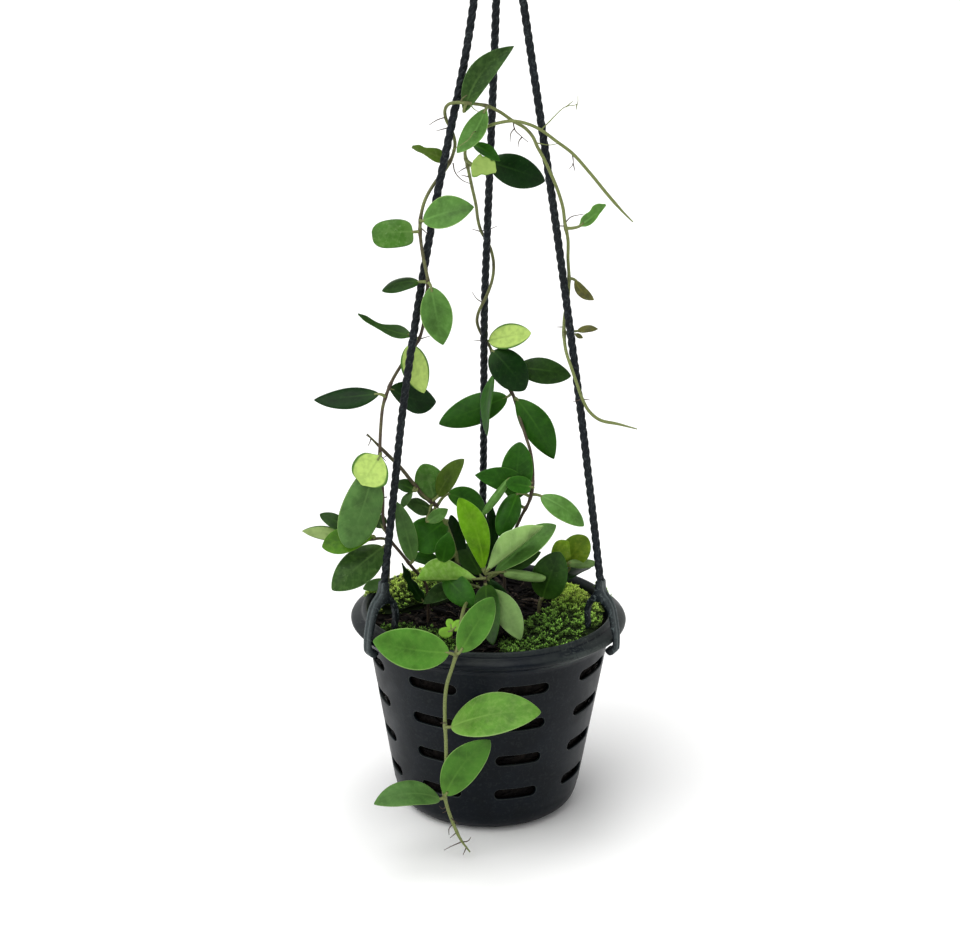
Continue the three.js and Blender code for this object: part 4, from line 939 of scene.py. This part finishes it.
def blade(skin, leaf, look, tone, draw):
    """A leaf's blade. turn turns it about its length, and at 0 its face looks at the camera. arch lifts its
    middle, cup lifts its edges, bow bends it sideways, blunt rounds its ends, peak is where it is widest,
    roll curls it round its length by so many degrees on each side, and fold bends its halves up at the
    midrib. left and right are the outlines of an uneven leaf, as shares of half its width."""
    foot = seen(*leaf.base)
    along = seen(*leaf.tip) - foot
    length = along.length
    along.normalize()
    viewer = EYE - foot
    viewer = (viewer - along * viewer.dot(along)).normalized()
    face = Matrix.Rotation(math.radians(leaf.turn), 3, along) @ viewer
    side = along.cross(face)
    ripple, phase = draw.uniform(*RIPPLE_HIGH), draw.uniform(0, 6.3)
    bulge, curl, fold = math.log(0.5) / math.log(leaf.peak), math.radians(leaf.roll), math.radians(leaf.fold)
    points, values = [], {"along": [], "across": [], "offset": [], "upper": []}
    spread = [math.sin(math.pi / 2 * j / BLADE_HALF) for j in range(-BLADE_HALF, BLADE_HALF + 1)]
    rim = [(q, 1) for q in spread] + [(q, 0) for q in reversed(spread[1:-1])]
    for i in range(BLADE_ROWS + 1):
        t = (1 - math.cos(math.pi * i / BLADE_ROWS)) / 2
        body = leaf.wide / 2 * math.sin(math.pi * t**bulge) ** leaf.blunt
        plain = max(body * (1 - TIP_NARROWING * t**TIP_POWER), TIP_HALF if i else STALK_RADIUS)
        halves = [plain if share is None else max(UNEVEN_HALF, leaf.wide / 2 * smooth_share(share, t))
                  for share in (leaf.left, leaf.right)]
        middle = foot + along * (length * t) + (side * leaf.bow + face * leaf.arch) * (4 * t * (1 - t))
        for q, top in rim:
            half = halves[q > 0]
            lift = leaf.cup * 2 * half / leaf.wide
            wave = ripple * abs(q) ** 3 * math.sin(RIPPLE_WAVES * t + phase + q) * min(1, half / RIPPLE_HALF)
            thick = BLADE_THICK / 2 * (1 - EDGE_THINNING * abs(q)) * math.sqrt(max(0, 1 - q**6))
            thick *= min(1, NARROW_SHARE + half / FULL_THICK_HALF)
            rib = RIB_DEPTH * math.exp(-((q * half / RIB_HALF) ** 2)) * (1 - t)
            out, rise = q * half, lift * q * q + wave + (thick - rib if top else -thick - rib)
            if curl:
                out, rise = half * math.sin(q * curl) / curl, rise + half * (1 - math.cos(q * curl)) / curl
            bent = fold * math.copysign(min(1, 4 * abs(q)), q)
            out, rise = (out * math.cos(bent) - rise * math.sin(bent),
                         out * math.sin(bent) + rise * math.cos(bent))
            points.append(middle + side * out + face * rise)
            for name, value in (("along", t), ("across", abs(q)), ("offset", q * half), ("upper", top)):
                values[name].append(value)
    n = len(rim)
    faces = [quad[:1] + quad[:0:-1] for quad in wall_faces(BLADE_ROWS + 1, n)]
    faces += [tuple(range(n)), tuple(BLADE_ROWS * n + j for j in reversed(range(n)))]
    skin.add(points, faces, look=look, tone=tone, age=0.0, **values)
    return foot, along


def woody(skin, line, radius, age, grow):
    """A stem, stalk or root of the stem's material."""
    points, faces = swept(line, ring(STEM_SIDES, radius), grow=grow)
    ages = np.broadcast_to(age, len(line))
    ages = [ages[0], *np.repeat(ages, STEM_SIDES), ages[-1]]
    skin.add(points, faces, age=ages, along=0.0, across=0.0, offset=0.0, upper=0.0, tone=0.0)


def grow_stem(name, thick, rooted, route, leaves, twigs=(), roots=(), fresh_roots=(), slot="plant", age=0.8):
    """A leafy stem with its twigs, leaves, stalks and roots, as one piece. Its places are points of the
    picture with how far in front of the pot's axis they lie. A root's places that give no distance have
    that of its first place."""
    draw = random.Random(name)
    lines = [curve_through([Vector((*rooted, z)) for z in ROOTED_HEIGHTS] + [seen(*p) for p in route],
                           STEM_SPACING)]
    lines += [curve_through([seen(*p) for p in twig], STEM_SPACING) for twig in twigs]
    joints = [nearest_on(lines, seen(*leaf.base)) for leaf in leaves]
    looks = sorted({leaf.look for leaf in leaves})
    skin = Skin()
    for k, line in enumerate(lines):
        swell = np.ones(len(line))
        for joint in joints:
            gap = np.linalg.norm(line - np.array(joint), axis=1)
            swell += JOINT_SWELL * np.exp(-((gap / JOINT_REACH) ** 2))
        from_tip = (len(line) - 1 - np.arange(len(line))) * STEM_SPACING
        corky = age * (TWIG_AGE if k else from_tip / from_tip[0]) + JOINT_CORK * (swell - 1)
        taper = np.minimum(1, TIP_SHARE + (1 - TIP_SHARE) * from_tip / TIP_TAPER)
        swell = np.minimum(swell, 1 + JOINT_SWELL) * taper
        woody(skin, line, thick / 2 * (TWIG_SHARE if k else MAIN_SHARE), corky, swell)
    for leaf, joint in zip(leaves, joints):
        foot, along = blade(skin, leaf, 1 + looks.index(leaf.look), draw.random(), draw)
        bend = foot - along * min(STALK_BEND, 0.4 * (foot - joint).length)
        stops = [joint, joint.lerp(bend, 0.6), foot, foot + along * STALK_IN_BLADE]
        stalk = curve_through(stops, STALK_SPACING)
        radius = min(STALK_RADIUS, 0.09 * leaf.wide + 0.2)
        woody(skin, stalk, radius, STALK_AGE, np.linspace(*STALK_TAPER, len(stalk)))
    for threads, root_age in ((roots, ROOT_AGE), (fresh_roots, FRESH_ROOT_AGE)):
        for thread in threads:
            depth = thread[0][2]
            line = curve_through([seen(*(*p, depth)[:3]) for p in thread], ROOT_SPACING)
            woody(skin, line, ROOT_THICK / 2, root_age, np.linspace(*ROOT_TAPER, len(line)))
    skin.piece(f"{name}_grown", slot, name, [stem_skin] + [leaf_skins[look] for look in looks])

# The longest vine climbs the left leg, winding round it, arches over the top and comes down the right
# leg. Low down it forks, and leafy side stems lean out at the left of the crown.
grow_stem(
    "vine_left",
    thick=2,
    rooted=(-33, -2),
    route=[
        (426, 585, 6), (412, 567, 14), (400, 552, 21), (391, 541, 23), (386, 530, 27), (383, 516, 31),
        (383, 500, 31), (382, 480, 31), (380, 455, 31), (381, 424, 30), (383, 406, 28), (387, 393, 24),
        (393, 379, 19), (402, 364, 14), (411, 350, 14), (419, 339, 16), (423, 326, 17.5), (425, 309, 17),
        (426, 296, 20), (428, 282, 25), (425, 266, 25), (422, 250, 22), (420, 226, 19), (424, 203, 16),
        (434, 184, 11.5), (445, 170, 9.5), (452, 157, 9), (455, 144, 8.5), (452, 131, 7.5), (446, 119, 9),
        (445, 110, 12), (449, 104, 16), (456, 102.5, 17.5), (466, 103, 17), (487, 106, 14), (500, 112, 13),
        (513, 121, 12), (525, 128, 13.5), (533, 137, 17), (537, 146, 19.5), (543, 157, 20.5),
        (551, 174, 20.5), (558, 191, 20), (563, 208, 19), (565, 224, 18), (568, 240, 17), (568, 259, 15.5),
        (569, 277, 14.5), (568, 298, 15.5), (564.5, 317, 16.5), (564, 334, 18), (566, 351, 24),
        (571.5, 368, 29), (577, 384, 31.5), (582, 398, 32), (589, 411, 31), (600, 420, 30), (618, 424, 30),
        (637, 429, 30),
    ],
    twigs=[
        [(391, 543, 23), (383, 538.5, 25), (366, 541, 27), (352, 548, 28)],
        [(461, 103.2, 17.2), (462, 99, 18), (467, 95, 17)],
        [(391, 541, 21), (389, 556, 15), (389, 573, 12), (389, 586, 12)],
    ],
    leaves=[
        Leaf("dull", (464, 112, 15.5), (514, 46, 12), 12.5, turn=-8, arch=1, cup=2.5, bow=-4.5),
        Leaf("mid", (486, 109, 15), (457, 153, 20), 13, turn=35, arch=-3, cup=1),
        Leaf("olive", (446, 161, 7), (412, 147, 4), 9, turn=25, arch=1, roll=50,
             left=(0.3, 0.9, 1, 0.75, 0.5, 0.45, 0.2), right=(0.3, 0.8, 0.9, 0.7, 0.45, 0.5, 0.2)),
        Leaf("mid", (423, 221, 21), (474, 207, 27), 17.5, turn=-25, arch=2, cup=1.5),
        Leaf("mottled", (413, 232, 20), (372, 236, 22), 15.5, turn=20, arch=2, cup=-1.5, blunt=0.22),
        Leaf("dark", (419, 282, 24), (382, 291, 22), 12, turn=55, arch=2, cup=-1, blunt=0.6),
        Leaf("mid", (431, 287, 28), (443, 345, 30), 16.5, turn=-8, arch=-2, cup=1.5),
        Leaf("dark", (412, 336, 16), (358, 314, 12), 11, turn=52, arch=-2.5, cup=1,
             left=(0.2, 0.8, 1, 0.85, 0.55, 0.4, 0.35, 0.1),
             right=(0.2, 0.8, 1, 0.75, 0.45, 0.4, 0.4, 0.1)),
        Leaf("under", (409, 345, 18.5), (424, 393, 17), 14.5, turn=170, arch=1, cup=1.5, blunt=0.6),
        Leaf("deep", (379, 394, 27), (314, 400, 22), 13.4, turn=35, arch=-0.5, cup=-1),
        Leaf("deep", (390, 389, 18), (436, 402, 3), 17, turn=-25, cup=2, bow=2),
        Leaf("under", (380, 456, 34), (362, 485, 35), 18, turn=178, arch=1, cup=-1,
             left=(0.15, 0.78, 1, 1.1, 1.12, 1.1, 1, 0.76, 0.1),
             right=(0.15, 0.6, 0.86, 1.02, 1.12, 1.16, 1.02, 0.72, 0.08)),
        Leaf("shade", (376, 463, 28), (348, 548, 36), 21.4, turn=-10, arch=4, cup=-2, blunt=0.42,
             peak=0.58),
        Leaf("dark", (350, 533, 24), (320, 514, 17), 9, turn=30, arch=2, blunt=0.5),
        Leaf("under_dull", (347, 538, 22), (302, 531, 20), 8, turn=165, arch=2, cup=1),
        Leaf("vivid_dark", (374, 536, 26), (322, 547, 29), 14.5, turn=20, arch=2, cup=1, blunt=0.6,
             peak=0.6),
        Leaf("dull", (383, 547, 22), (332, 590, 35), 19, turn=12, arch=3, cup=-2, blunt=0.6),
        Leaf("dull", (383, 528, 24), (374, 514, 18), 9, turn=20),
        Leaf("shade", (413, 561, 16.5), (397, 502, 25.5), 10.5, turn=12, arch=2, cup=1, blunt=0.6),
        Leaf("deep", (423, 601, 3), (402, 563, 8), 6.5, turn=15, bow=-1,
             left=(0.5, 0.9, 0.7, 1, 0.55, 0.7, 0.3, 0.1), right=(0.6, 1, 0.8, 0.9, 0.45, 0.75, 0.35, 0.1)),
        Leaf("shade", (389, 583, 12), (363, 589, 16), 7, turn=20, arch=1, cup=1, blunt=0.5),
        Leaf("mid", (580, 226, 19), (606, 205, 22), 7.5, turn=-25, arch=-1, cup=2,
             left=(0.2, 0.7, 0.8, 0.75, 1, 0.8, 0.2), right=(0.2, 0.8, 1, 0.85, 0.5, 0.3, 0.1)),
        Leaf("brownish", (575, 280, 15), (594, 300, 16), 6.5, turn=30, arch=2, cup=1),
        Leaf("brownish", (577, 331, 17), (598, 329, 18), 5, turn=-40, arch=1),
        Leaf("brownish", (575, 334, 16), (583, 338, 15), 2.5),
    ],
    roots=[
        [(446, 117, 10), (437, 120), (429, 125)], [(447, 128, 9), (436, 131)],
        [(453, 163, 9), (455, 172), (462, 180), (471, 184)], [(421, 228, 19), (430, 236)],
        [(420, 339, 16), (430, 336)], [(565, 223, 18), (571, 217), (584, 214)],
        [(565, 226, 18), (552, 226)], [(564, 327, 17), (557, 327)], [(582, 399, 32), (573, 402)],
        [(582, 399, 32), (590, 400)], [(513, 121, 12), (515, 130), (521, 136), (528, 142)],
        [(515, 128, 12), (511, 133), (510, 142)], [(522, 137, 12), (519, 141), (518, 147)],
        [(488, 106, 14), (492, 110)], [(380, 455, 31), (386, 461)], [(387, 497, 30), (377, 499), (372, 504)],
    ],
    fresh_roots=[
        [(537, 143, 19), (550, 145), (560, 143)], [(470, 104, 17), (474, 109), (479, 112)],
    ],
)

# The second vine climbs the back leg, winding round it, and leans out bare at the top right. Its leaves
# stand between the legs and at the right of the crown.
grow_stem(
    "vine_middle",
    thick=2,
    rooted=(10, 12),
    route=[
        (505, 562, -12), (512, 538, -11), (521, 517, -9), (530, 499, -8), (533, 478, -13), (531, 454, -20),
        (525, 434, -28), (518, 412, -38), (514, 397, -43), (505, 382, -46), (497, 368, -47),
        (493, 356, -50), (489.5, 346, -52.5), (484, 338, -52.5), (480, 331, -50.5), (477, 321, -45.5),
        (479, 311, -41.5), (484, 301, -39.5), (489, 290, -38), (493, 276, -39), (493.5, 262, -42),
        (491, 250, -43.5), (487, 241, -43.5), (481.5, 232, -41), (478, 220, -34), (476, 205, -26),
        (472, 187, -18), (468, 168, -8), (465, 153, 0), (467, 142, 5), (475, 132, 8), (486, 127, 11),
        (498, 123, 16), (513, 121, 18), (528, 124, 18.5), (541, 130, 19), (556, 141, 19), (572, 153, 19),
        (590, 173, 20), (608, 195, 21), (623, 212, 22), (633, 222, 22),
    ],
    leaves=[
        Leaf("green", (473, 144, 3), (500, 161, 10), 8, turn=-20, arch=1, roll=55),
        Leaf("ragged", (472, 164, 0), (496, 172, 2), 13, turn=168, arch=-1, cup=-1,
             left=(0.35, 1, 0.95, 0.6, 0.55, 0.3, 0.1), right=(0.3, 0.9, 0.8, 1, 0.7, 0.75, 0.15)),
        Leaf("deep", (489, 162, -6), (545, 181, -12), 17, turn=-12, arch=2, cup=-2, blunt=0.6),
        Leaf("under", (489, 341, -47), (531, 333, -42), 14.5, turn=160, arch=-1, cup=-1, blunt=0.55),
        Leaf("deep", (493, 351, -43), (525, 390, -36), 19.5, turn=-12, arch=3, cup=-1, blunt=0.5),
        Leaf("dark", (516, 368, -48), (571, 376, -48), 15, turn=-18, arch=3, cup=-1, blunt=0.6),
        Leaf("green", (494, 374, -41), (487, 436, -36), 12, turn=60, arch=2, cup=1),
        Leaf("green", (507, 397, -58), (439, 424, -67), 17, arch=1, cup=-2, blunt=0.6),
        Leaf("green", (517, 399, -39), (554, 459, -30), 16.5, turn=10, arch=3, cup=-1, bow=-2),
        Leaf("green", (514, 499, -13), (520, 442, -22), 17.5, arch=3, cup=1, blunt=0.5),
        Leaf("mid", (541, 496, -8), (584, 526, 0), 13.5, turn=-30, arch=3, cup=-1, blunt=0.6),
        Leaf("mid", (509, 479, -6), (482, 515, 6), 7.5, turn=15, arch=1, blunt=0.3, roll=-95),
        Leaf("green", (531, 487, -5), (506, 483, -2), 9.5, turn=10, arch=1, cup=1, blunt=0.36),
        Leaf("green", (517, 494, -8), (499, 536, 3), 12.5, turn=-10, arch=2, cup=-2, blunt=0.5),
        Leaf("green", (530, 491, -14), (475, 475, -10), 13.5, turn=10, arch=2, cup=1, bow=1.5),
    ],
    roots=[
        [(468, 167, -8), (463, 169), (457, 173)], [(470, 177, -12), (461, 175)],
        [(482, 232, -41), (472, 229)], [(482, 231, -41), (490, 229), (497, 226)],
        [(484, 303, -40), (477, 299), (472, 292)], [(485, 341, -52), (473, 340)],
        [(572, 152, 19), (573, 164), (569, 169)], [(573, 163, 19), (575, 171)],
        [(533, 478, -13), (528, 485)],
    ],
    fresh_roots=[
        [(541, 130, 19), (549, 122), (565, 107), (577, 104), (578, 96)], [(566, 107, 19), (573, 101)],
        [(577, 104, 19), (576, 110)],
        [(478, 131, 9), (473, 133, 21), (469, 139, 23), (461, 145, 24), (452, 150, 22)],
    ],
)

# One stem leans over the front of the rim and hangs in front of the pot, with its leaves in pairs. It
# is younger and greener than the vines, and short roots sprout from its joints.
grow_stem(
    "stem_trailing",
    thick=2.3,
    rooted=(-12, -20),
    route=[
        (471, 598, 12), (466, 604, 24), (462, 616, 50), (460, 632, 68), (457, 651, 79), (452, 668, 82),
        (447, 684, 82), (445, 700, 82), (445, 722, 82), (446, 745, 82), (446, 768, 82), (444, 790, 81),
        (447, 806, 80), (453, 823, 79), (461, 840, 79), (470, 852, 79),
    ],
    leaves=[
        Leaf("green_mid", (460, 652, 82), (493, 597, 76), 15.5, turn=5, arch=-2, cup=1.5, blunt=0.6),
        Leaf("green_mid", (449, 653, 82), (373, 641, 86), 21.5, turn=14, arch=1, cup=1.5, bow=-1.5,
             blunt=0.6),
        Leaf("light", (451, 727, 84), (541, 712, 90), 26, turn=-33, arch=5, cup=1, blunt=0.6),
        Leaf("green_mid", (445, 795, 83), (490, 740, 88), 18.5, turn=12, arch=-2, cup=1.5, bow=-2.4,
             blunt=0.6),
        Leaf("shade", (440, 799, 82), (374, 804, 88), 18, turn=42, arch=5.5, cup=1, blunt=0.6),
    ],
    roots=[
        [(446, 723, 83), (440, 723)], [(447, 805, 80), (443, 809), (439, 806)],
        [(449, 810, 80), (442, 813)], [(453, 824, 79), (449, 829), (449, 835)],
        [(457, 832, 79), (450, 838)], [(461, 842, 79), (452, 846), (444, 850)],
        [(462, 842, 79), (468, 841), (471, 837)], [(451, 818, 80), (458, 824)], [(466, 848, 79), (463, 855)],
    ],
    age=0.35,
)

# Three short shoots make the crown. The middle one spreads its leaves from one point, and two of them
# are folded along their midribs.
grow_stem(
    "shoot_middle",
    thick=2.6,
    rooted=(-1, -8),
    route=[(486, 602, 8), (485, 588, 10), (486, 574, 11)],
    leaves=[
        Leaf("vivid", (483, 570, 12), (459, 498, 18), 14.5, turn=10, arch=2, cup=1, bow=2.6, blunt=0.55,
             peak=0.6),
        Leaf("pale", (487, 571, 12), (543, 526, 20), 21, turn=42, fold=-42,
             left=(0.08, 0.37, 0.68, 0.9, 1, 0.87, 0.71, 0.46, 0.05),
             right=(0.08, 0.37, 0.68, 0.9, 1, 0.87, 0.71, 0.46, 0.05)),
        Leaf("mid", (494, 574, 6), (556, 525, 3), 17, turn=-35, arch=2, cup=1, blunt=0.6, peak=0.6),
        Leaf("bright", (476, 579, 12), (417, 579, 21), 22.4, turn=-42, fold=-42,
             left=(0.08, 0.36, 0.58, 0.8, 0.95, 1, 0.93, 0.64, 0.08),
             right=(0.08, 0.36, 0.58, 0.8, 0.95, 1, 0.93, 0.64, 0.08)),
        Leaf("glaucous", (488, 588, 14), (521, 640, 44), 14, turn=-8, arch=4, cup=1, bow=-1, blunt=0.6,
             peak=0.57),
        Leaf("dull", (462, 584, 3), (423, 604, 9), 11, turn=30, arch=2, cup=1),
        Leaf("deep", (488, 579, 9), (511, 606, 16), 8, turn=25, arch=1),
        Leaf("dark", (480, 575, 4), (459, 543, -4), 14, turn=20, arch=2, cup=1),
        Leaf("glaucous", (504, 572, 8), (546, 578, 8), 9, turn=-20, arch=1, blunt=0.22, roll=-90),
        Leaf("dark", (486, 585, 12), (493, 645, 50), 14, turn=10, arch=4, cup=1, blunt=0.55),
        Leaf("deep", (485, 567, 4), (490, 502, -14), 9, turn=30, arch=3, cup=1),
        # Painted shade: this dark leaf stands for the shaded lower half of the leaf above it.
        Leaf("dark", (499, 573, 1), (541, 552, -6), 10, turn=-20, arch=1, cup=1),
    ],
)

# The left shoot stands left of the middle and carries green leaves, broad and small, on a short stem. A
# bare twig of it reaches out behind the left leg.
grow_stem(
    "shoot_left",
    thick=2.6,
    rooted=(-12.5, -3),
    route=[(464, 590, 4), (458, 565, 4), (452, 540, 5), (444, 520, 6), (437, 506, 6)],
    twigs=[
        [(437, 506, 6), (425, 497, 9), (413, 483, 13), (400, 467, 17), (388, 455, 20), (371, 438, 22),
         (367, 434, 22)],
    ],
    leaves=[
        Leaf("mottled", (434, 500, 6), (423, 464, 2), 16.5, turn=10, arch=2, cup=1.5, blunt=0.45),
        Leaf("olive", (438, 496, 8), (464, 459, 12), 12, turn=-30, arch=2, cup=1, blunt=0.6),
        Leaf("dark", (415, 491, 14), (394, 483, 12), 8, turn=30, arch=1, cup=1),
        Leaf("shade", (412, 492, 15), (401, 509, 20), 5, turn=30, arch=1),
        Leaf("dull", (433, 510, 8), (405, 503, 14), 10.5, turn=35, arch=1, cup=-1),
        Leaf("green", (447, 520, 4), (413, 547, 12), 20, turn=5, arch=3, cup=-1, blunt=0.42, peak=0.62),
        Leaf("mid", (427, 522, 15), (448, 509, 12), 7, arch=1, cup=1),
        # This leaf has a darker look for the shade that the broad leaf over it casts.
        Leaf("green", (444, 575, 10), (475, 607, 24), 14.5, turn=5, arch=2, cup=-1, blunt=0.6),
        Leaf("green", (448, 494, 2), (486, 511, -6), 15, turn=-30, arch=2, cup=1, blunt=0.55),
        Leaf("green", (442, 563, 13), (449, 532, 25), 11, arch=1, blunt=0.8),
        # Painted shade: this deep leaf fills the shaded gap among the stems between the shoots.
        Leaf("deep", (459, 572, 1), (451, 515, -4), 11, turn=20, arch=1, cup=1, blunt=0.5),
        Leaf("green", (444, 566, 2), (407, 557, 5), 9, turn=35, arch=2, cup=1),
    ],
    roots=[
        [(371, 438, 22), (370, 442), (368, 446)], [(372, 439, 22), (366, 435)], [(388, 455, 20), (383, 458)],
    ],
)

# The right shoot is low and leans to the right, with broad leaves at its tip, two of them mottled with
# yellow.
grow_stem(
    "shoot_right",
    thick=2.4,
    rooted=(27.5, 1.5),
    route=[(541, 599, -2), (546, 592, -5), (555, 583, -9), (566, 572, -14)],
    leaves=[
        Leaf("dark", (543, 598, 2), (560, 552, 4), 20, turn=-10, arch=3, cup=1, blunt=0.5),
        Leaf("mottled_yellow", (570, 566, -14), (557, 541, -14), 15, turn=10, arch=2, cup=-1, blunt=0.45),
        Leaf("mottled_yellow", (567, 562, -15), (587, 537, -12), 16, turn=-10, arch=2, cup=-1, blunt=0.42),
        Leaf("glaucous", (568, 563, -9), (597, 563, -13), 7.5, turn=-20, arch=1, blunt=0.4, roll=-70),
        Leaf("deep", (562, 582, -10), (592, 566, -20), 13, turn=-60, arch=2, cup=1),
    ],
)

# A small weed has sown itself in the moss, with three round pale leaves on one thread of a stem. It
# belongs to another plant.
grow_stem(
    "seedling",
    thick=1.2,
    rooted=(-21.5, -38),
    route=[(452, 634, 40), (452, 629, 41)],
    leaves=[
        Leaf("seedling", (452, 631, 42), (439, 634, 45), 6.5, turn=25, blunt=0.35),
        Leaf("seedling", (453, 630, 42), (462, 621, 41), 6, turn=-20, blunt=0.4),
        Leaf("seedling", (452, 628, 41), (448, 619, 38), 4.5, blunt=0.4),
    ],
    slot="seedling",
    age=0.0,
)

# The plant stands in a studio with a plain white floor, white walls and a dimmer ceiling, so that leaves
# and pot keep their depth. Soft lights come from overhead, from a little behind and from the front left.
FLOOR_CORNERS = [(-9, -4, 0), (9, -4, 0), (9, 14, 0), (-9, 14, 0)]
FLOOR_WHITE, FLOOR_ROUGHNESS = (0.95, 0.95, 0.945, 1), 0.9
LOW_WALL, HIGH_WALL, WALL_LIGHT, CEILING_LIGHT = 0.25, 0.6, 1.05, 0.42

floor_mesh = bpy.data.meshes.new("floor")
corners = [Vector(p) + Vector((0, 0, FOOT_HEIGHT)) for p in FLOOR_CORNERS]
floor_mesh.from_pydata(corners, [], [(0, 1, 2, 3)])
floor = bpy.data.objects.new("floor", floor_mesh)
bpy.context.scene.collection.objects.link(floor)
floor_white = bpy.data.materials.new("floor_white")
floor_white.use_nodes = True
floor_inputs = floor_white.node_tree.nodes["Principled BSDF"].inputs
floor_inputs["Base Color"].default_value = FLOOR_WHITE
floor_inputs["Roughness"].default_value = FLOOR_ROUGHNESS
floor_mesh.materials.append(floor_white)

sky = bpy.data.worlds.new("studio")
sky.use_nodes = True
way = add_node(sky.node_tree, "TexCoord").outputs["Generated"]
height = add_node(sky.node_tree, "SeparateXYZ", {"Vector": way}).outputs["Z"]
strength = between(sky.node_tree, height, LOW_WALL, HIGH_WALL, WALL_LIGHT, CEILING_LIGHT)
sky.node_tree.nodes["Background"].inputs["Color"].default_value = (1, 1, 1, 1)
sky.node_tree.links.new(strength, sky.node_tree.nodes["Background"].inputs["Strength"])
bpy.context.scene.world = sky

# Where each light stands, how strong it is, and how wide it looks in degrees.
LIGHTS = {
    "key": ((-0.4, -0.25, 1.35), 1.7, 60),
    "top": ((0.1, 0.35, 1.3), 0.4, 20),
    "front": ((-0.85, -0.9, 1), 0.75, 45),
}
for name, (place, strength, softness) in LIGHTS.items():
    light = bpy.data.lights.new(name, "SUN")
    light.energy = strength
    light.angle = math.radians(softness)
    lamp = bpy.data.objects.new(name, light)
    lamp.rotation_euler = Vector(place).to_track_quat("Z", "Y").to_euler()
    bpy.context.scene.collection.objects.link(lamp)
bpy.context.scene.view_settings.view_transform = "Standard"
bpy.context.scene.view_settings.gamma = 0.9
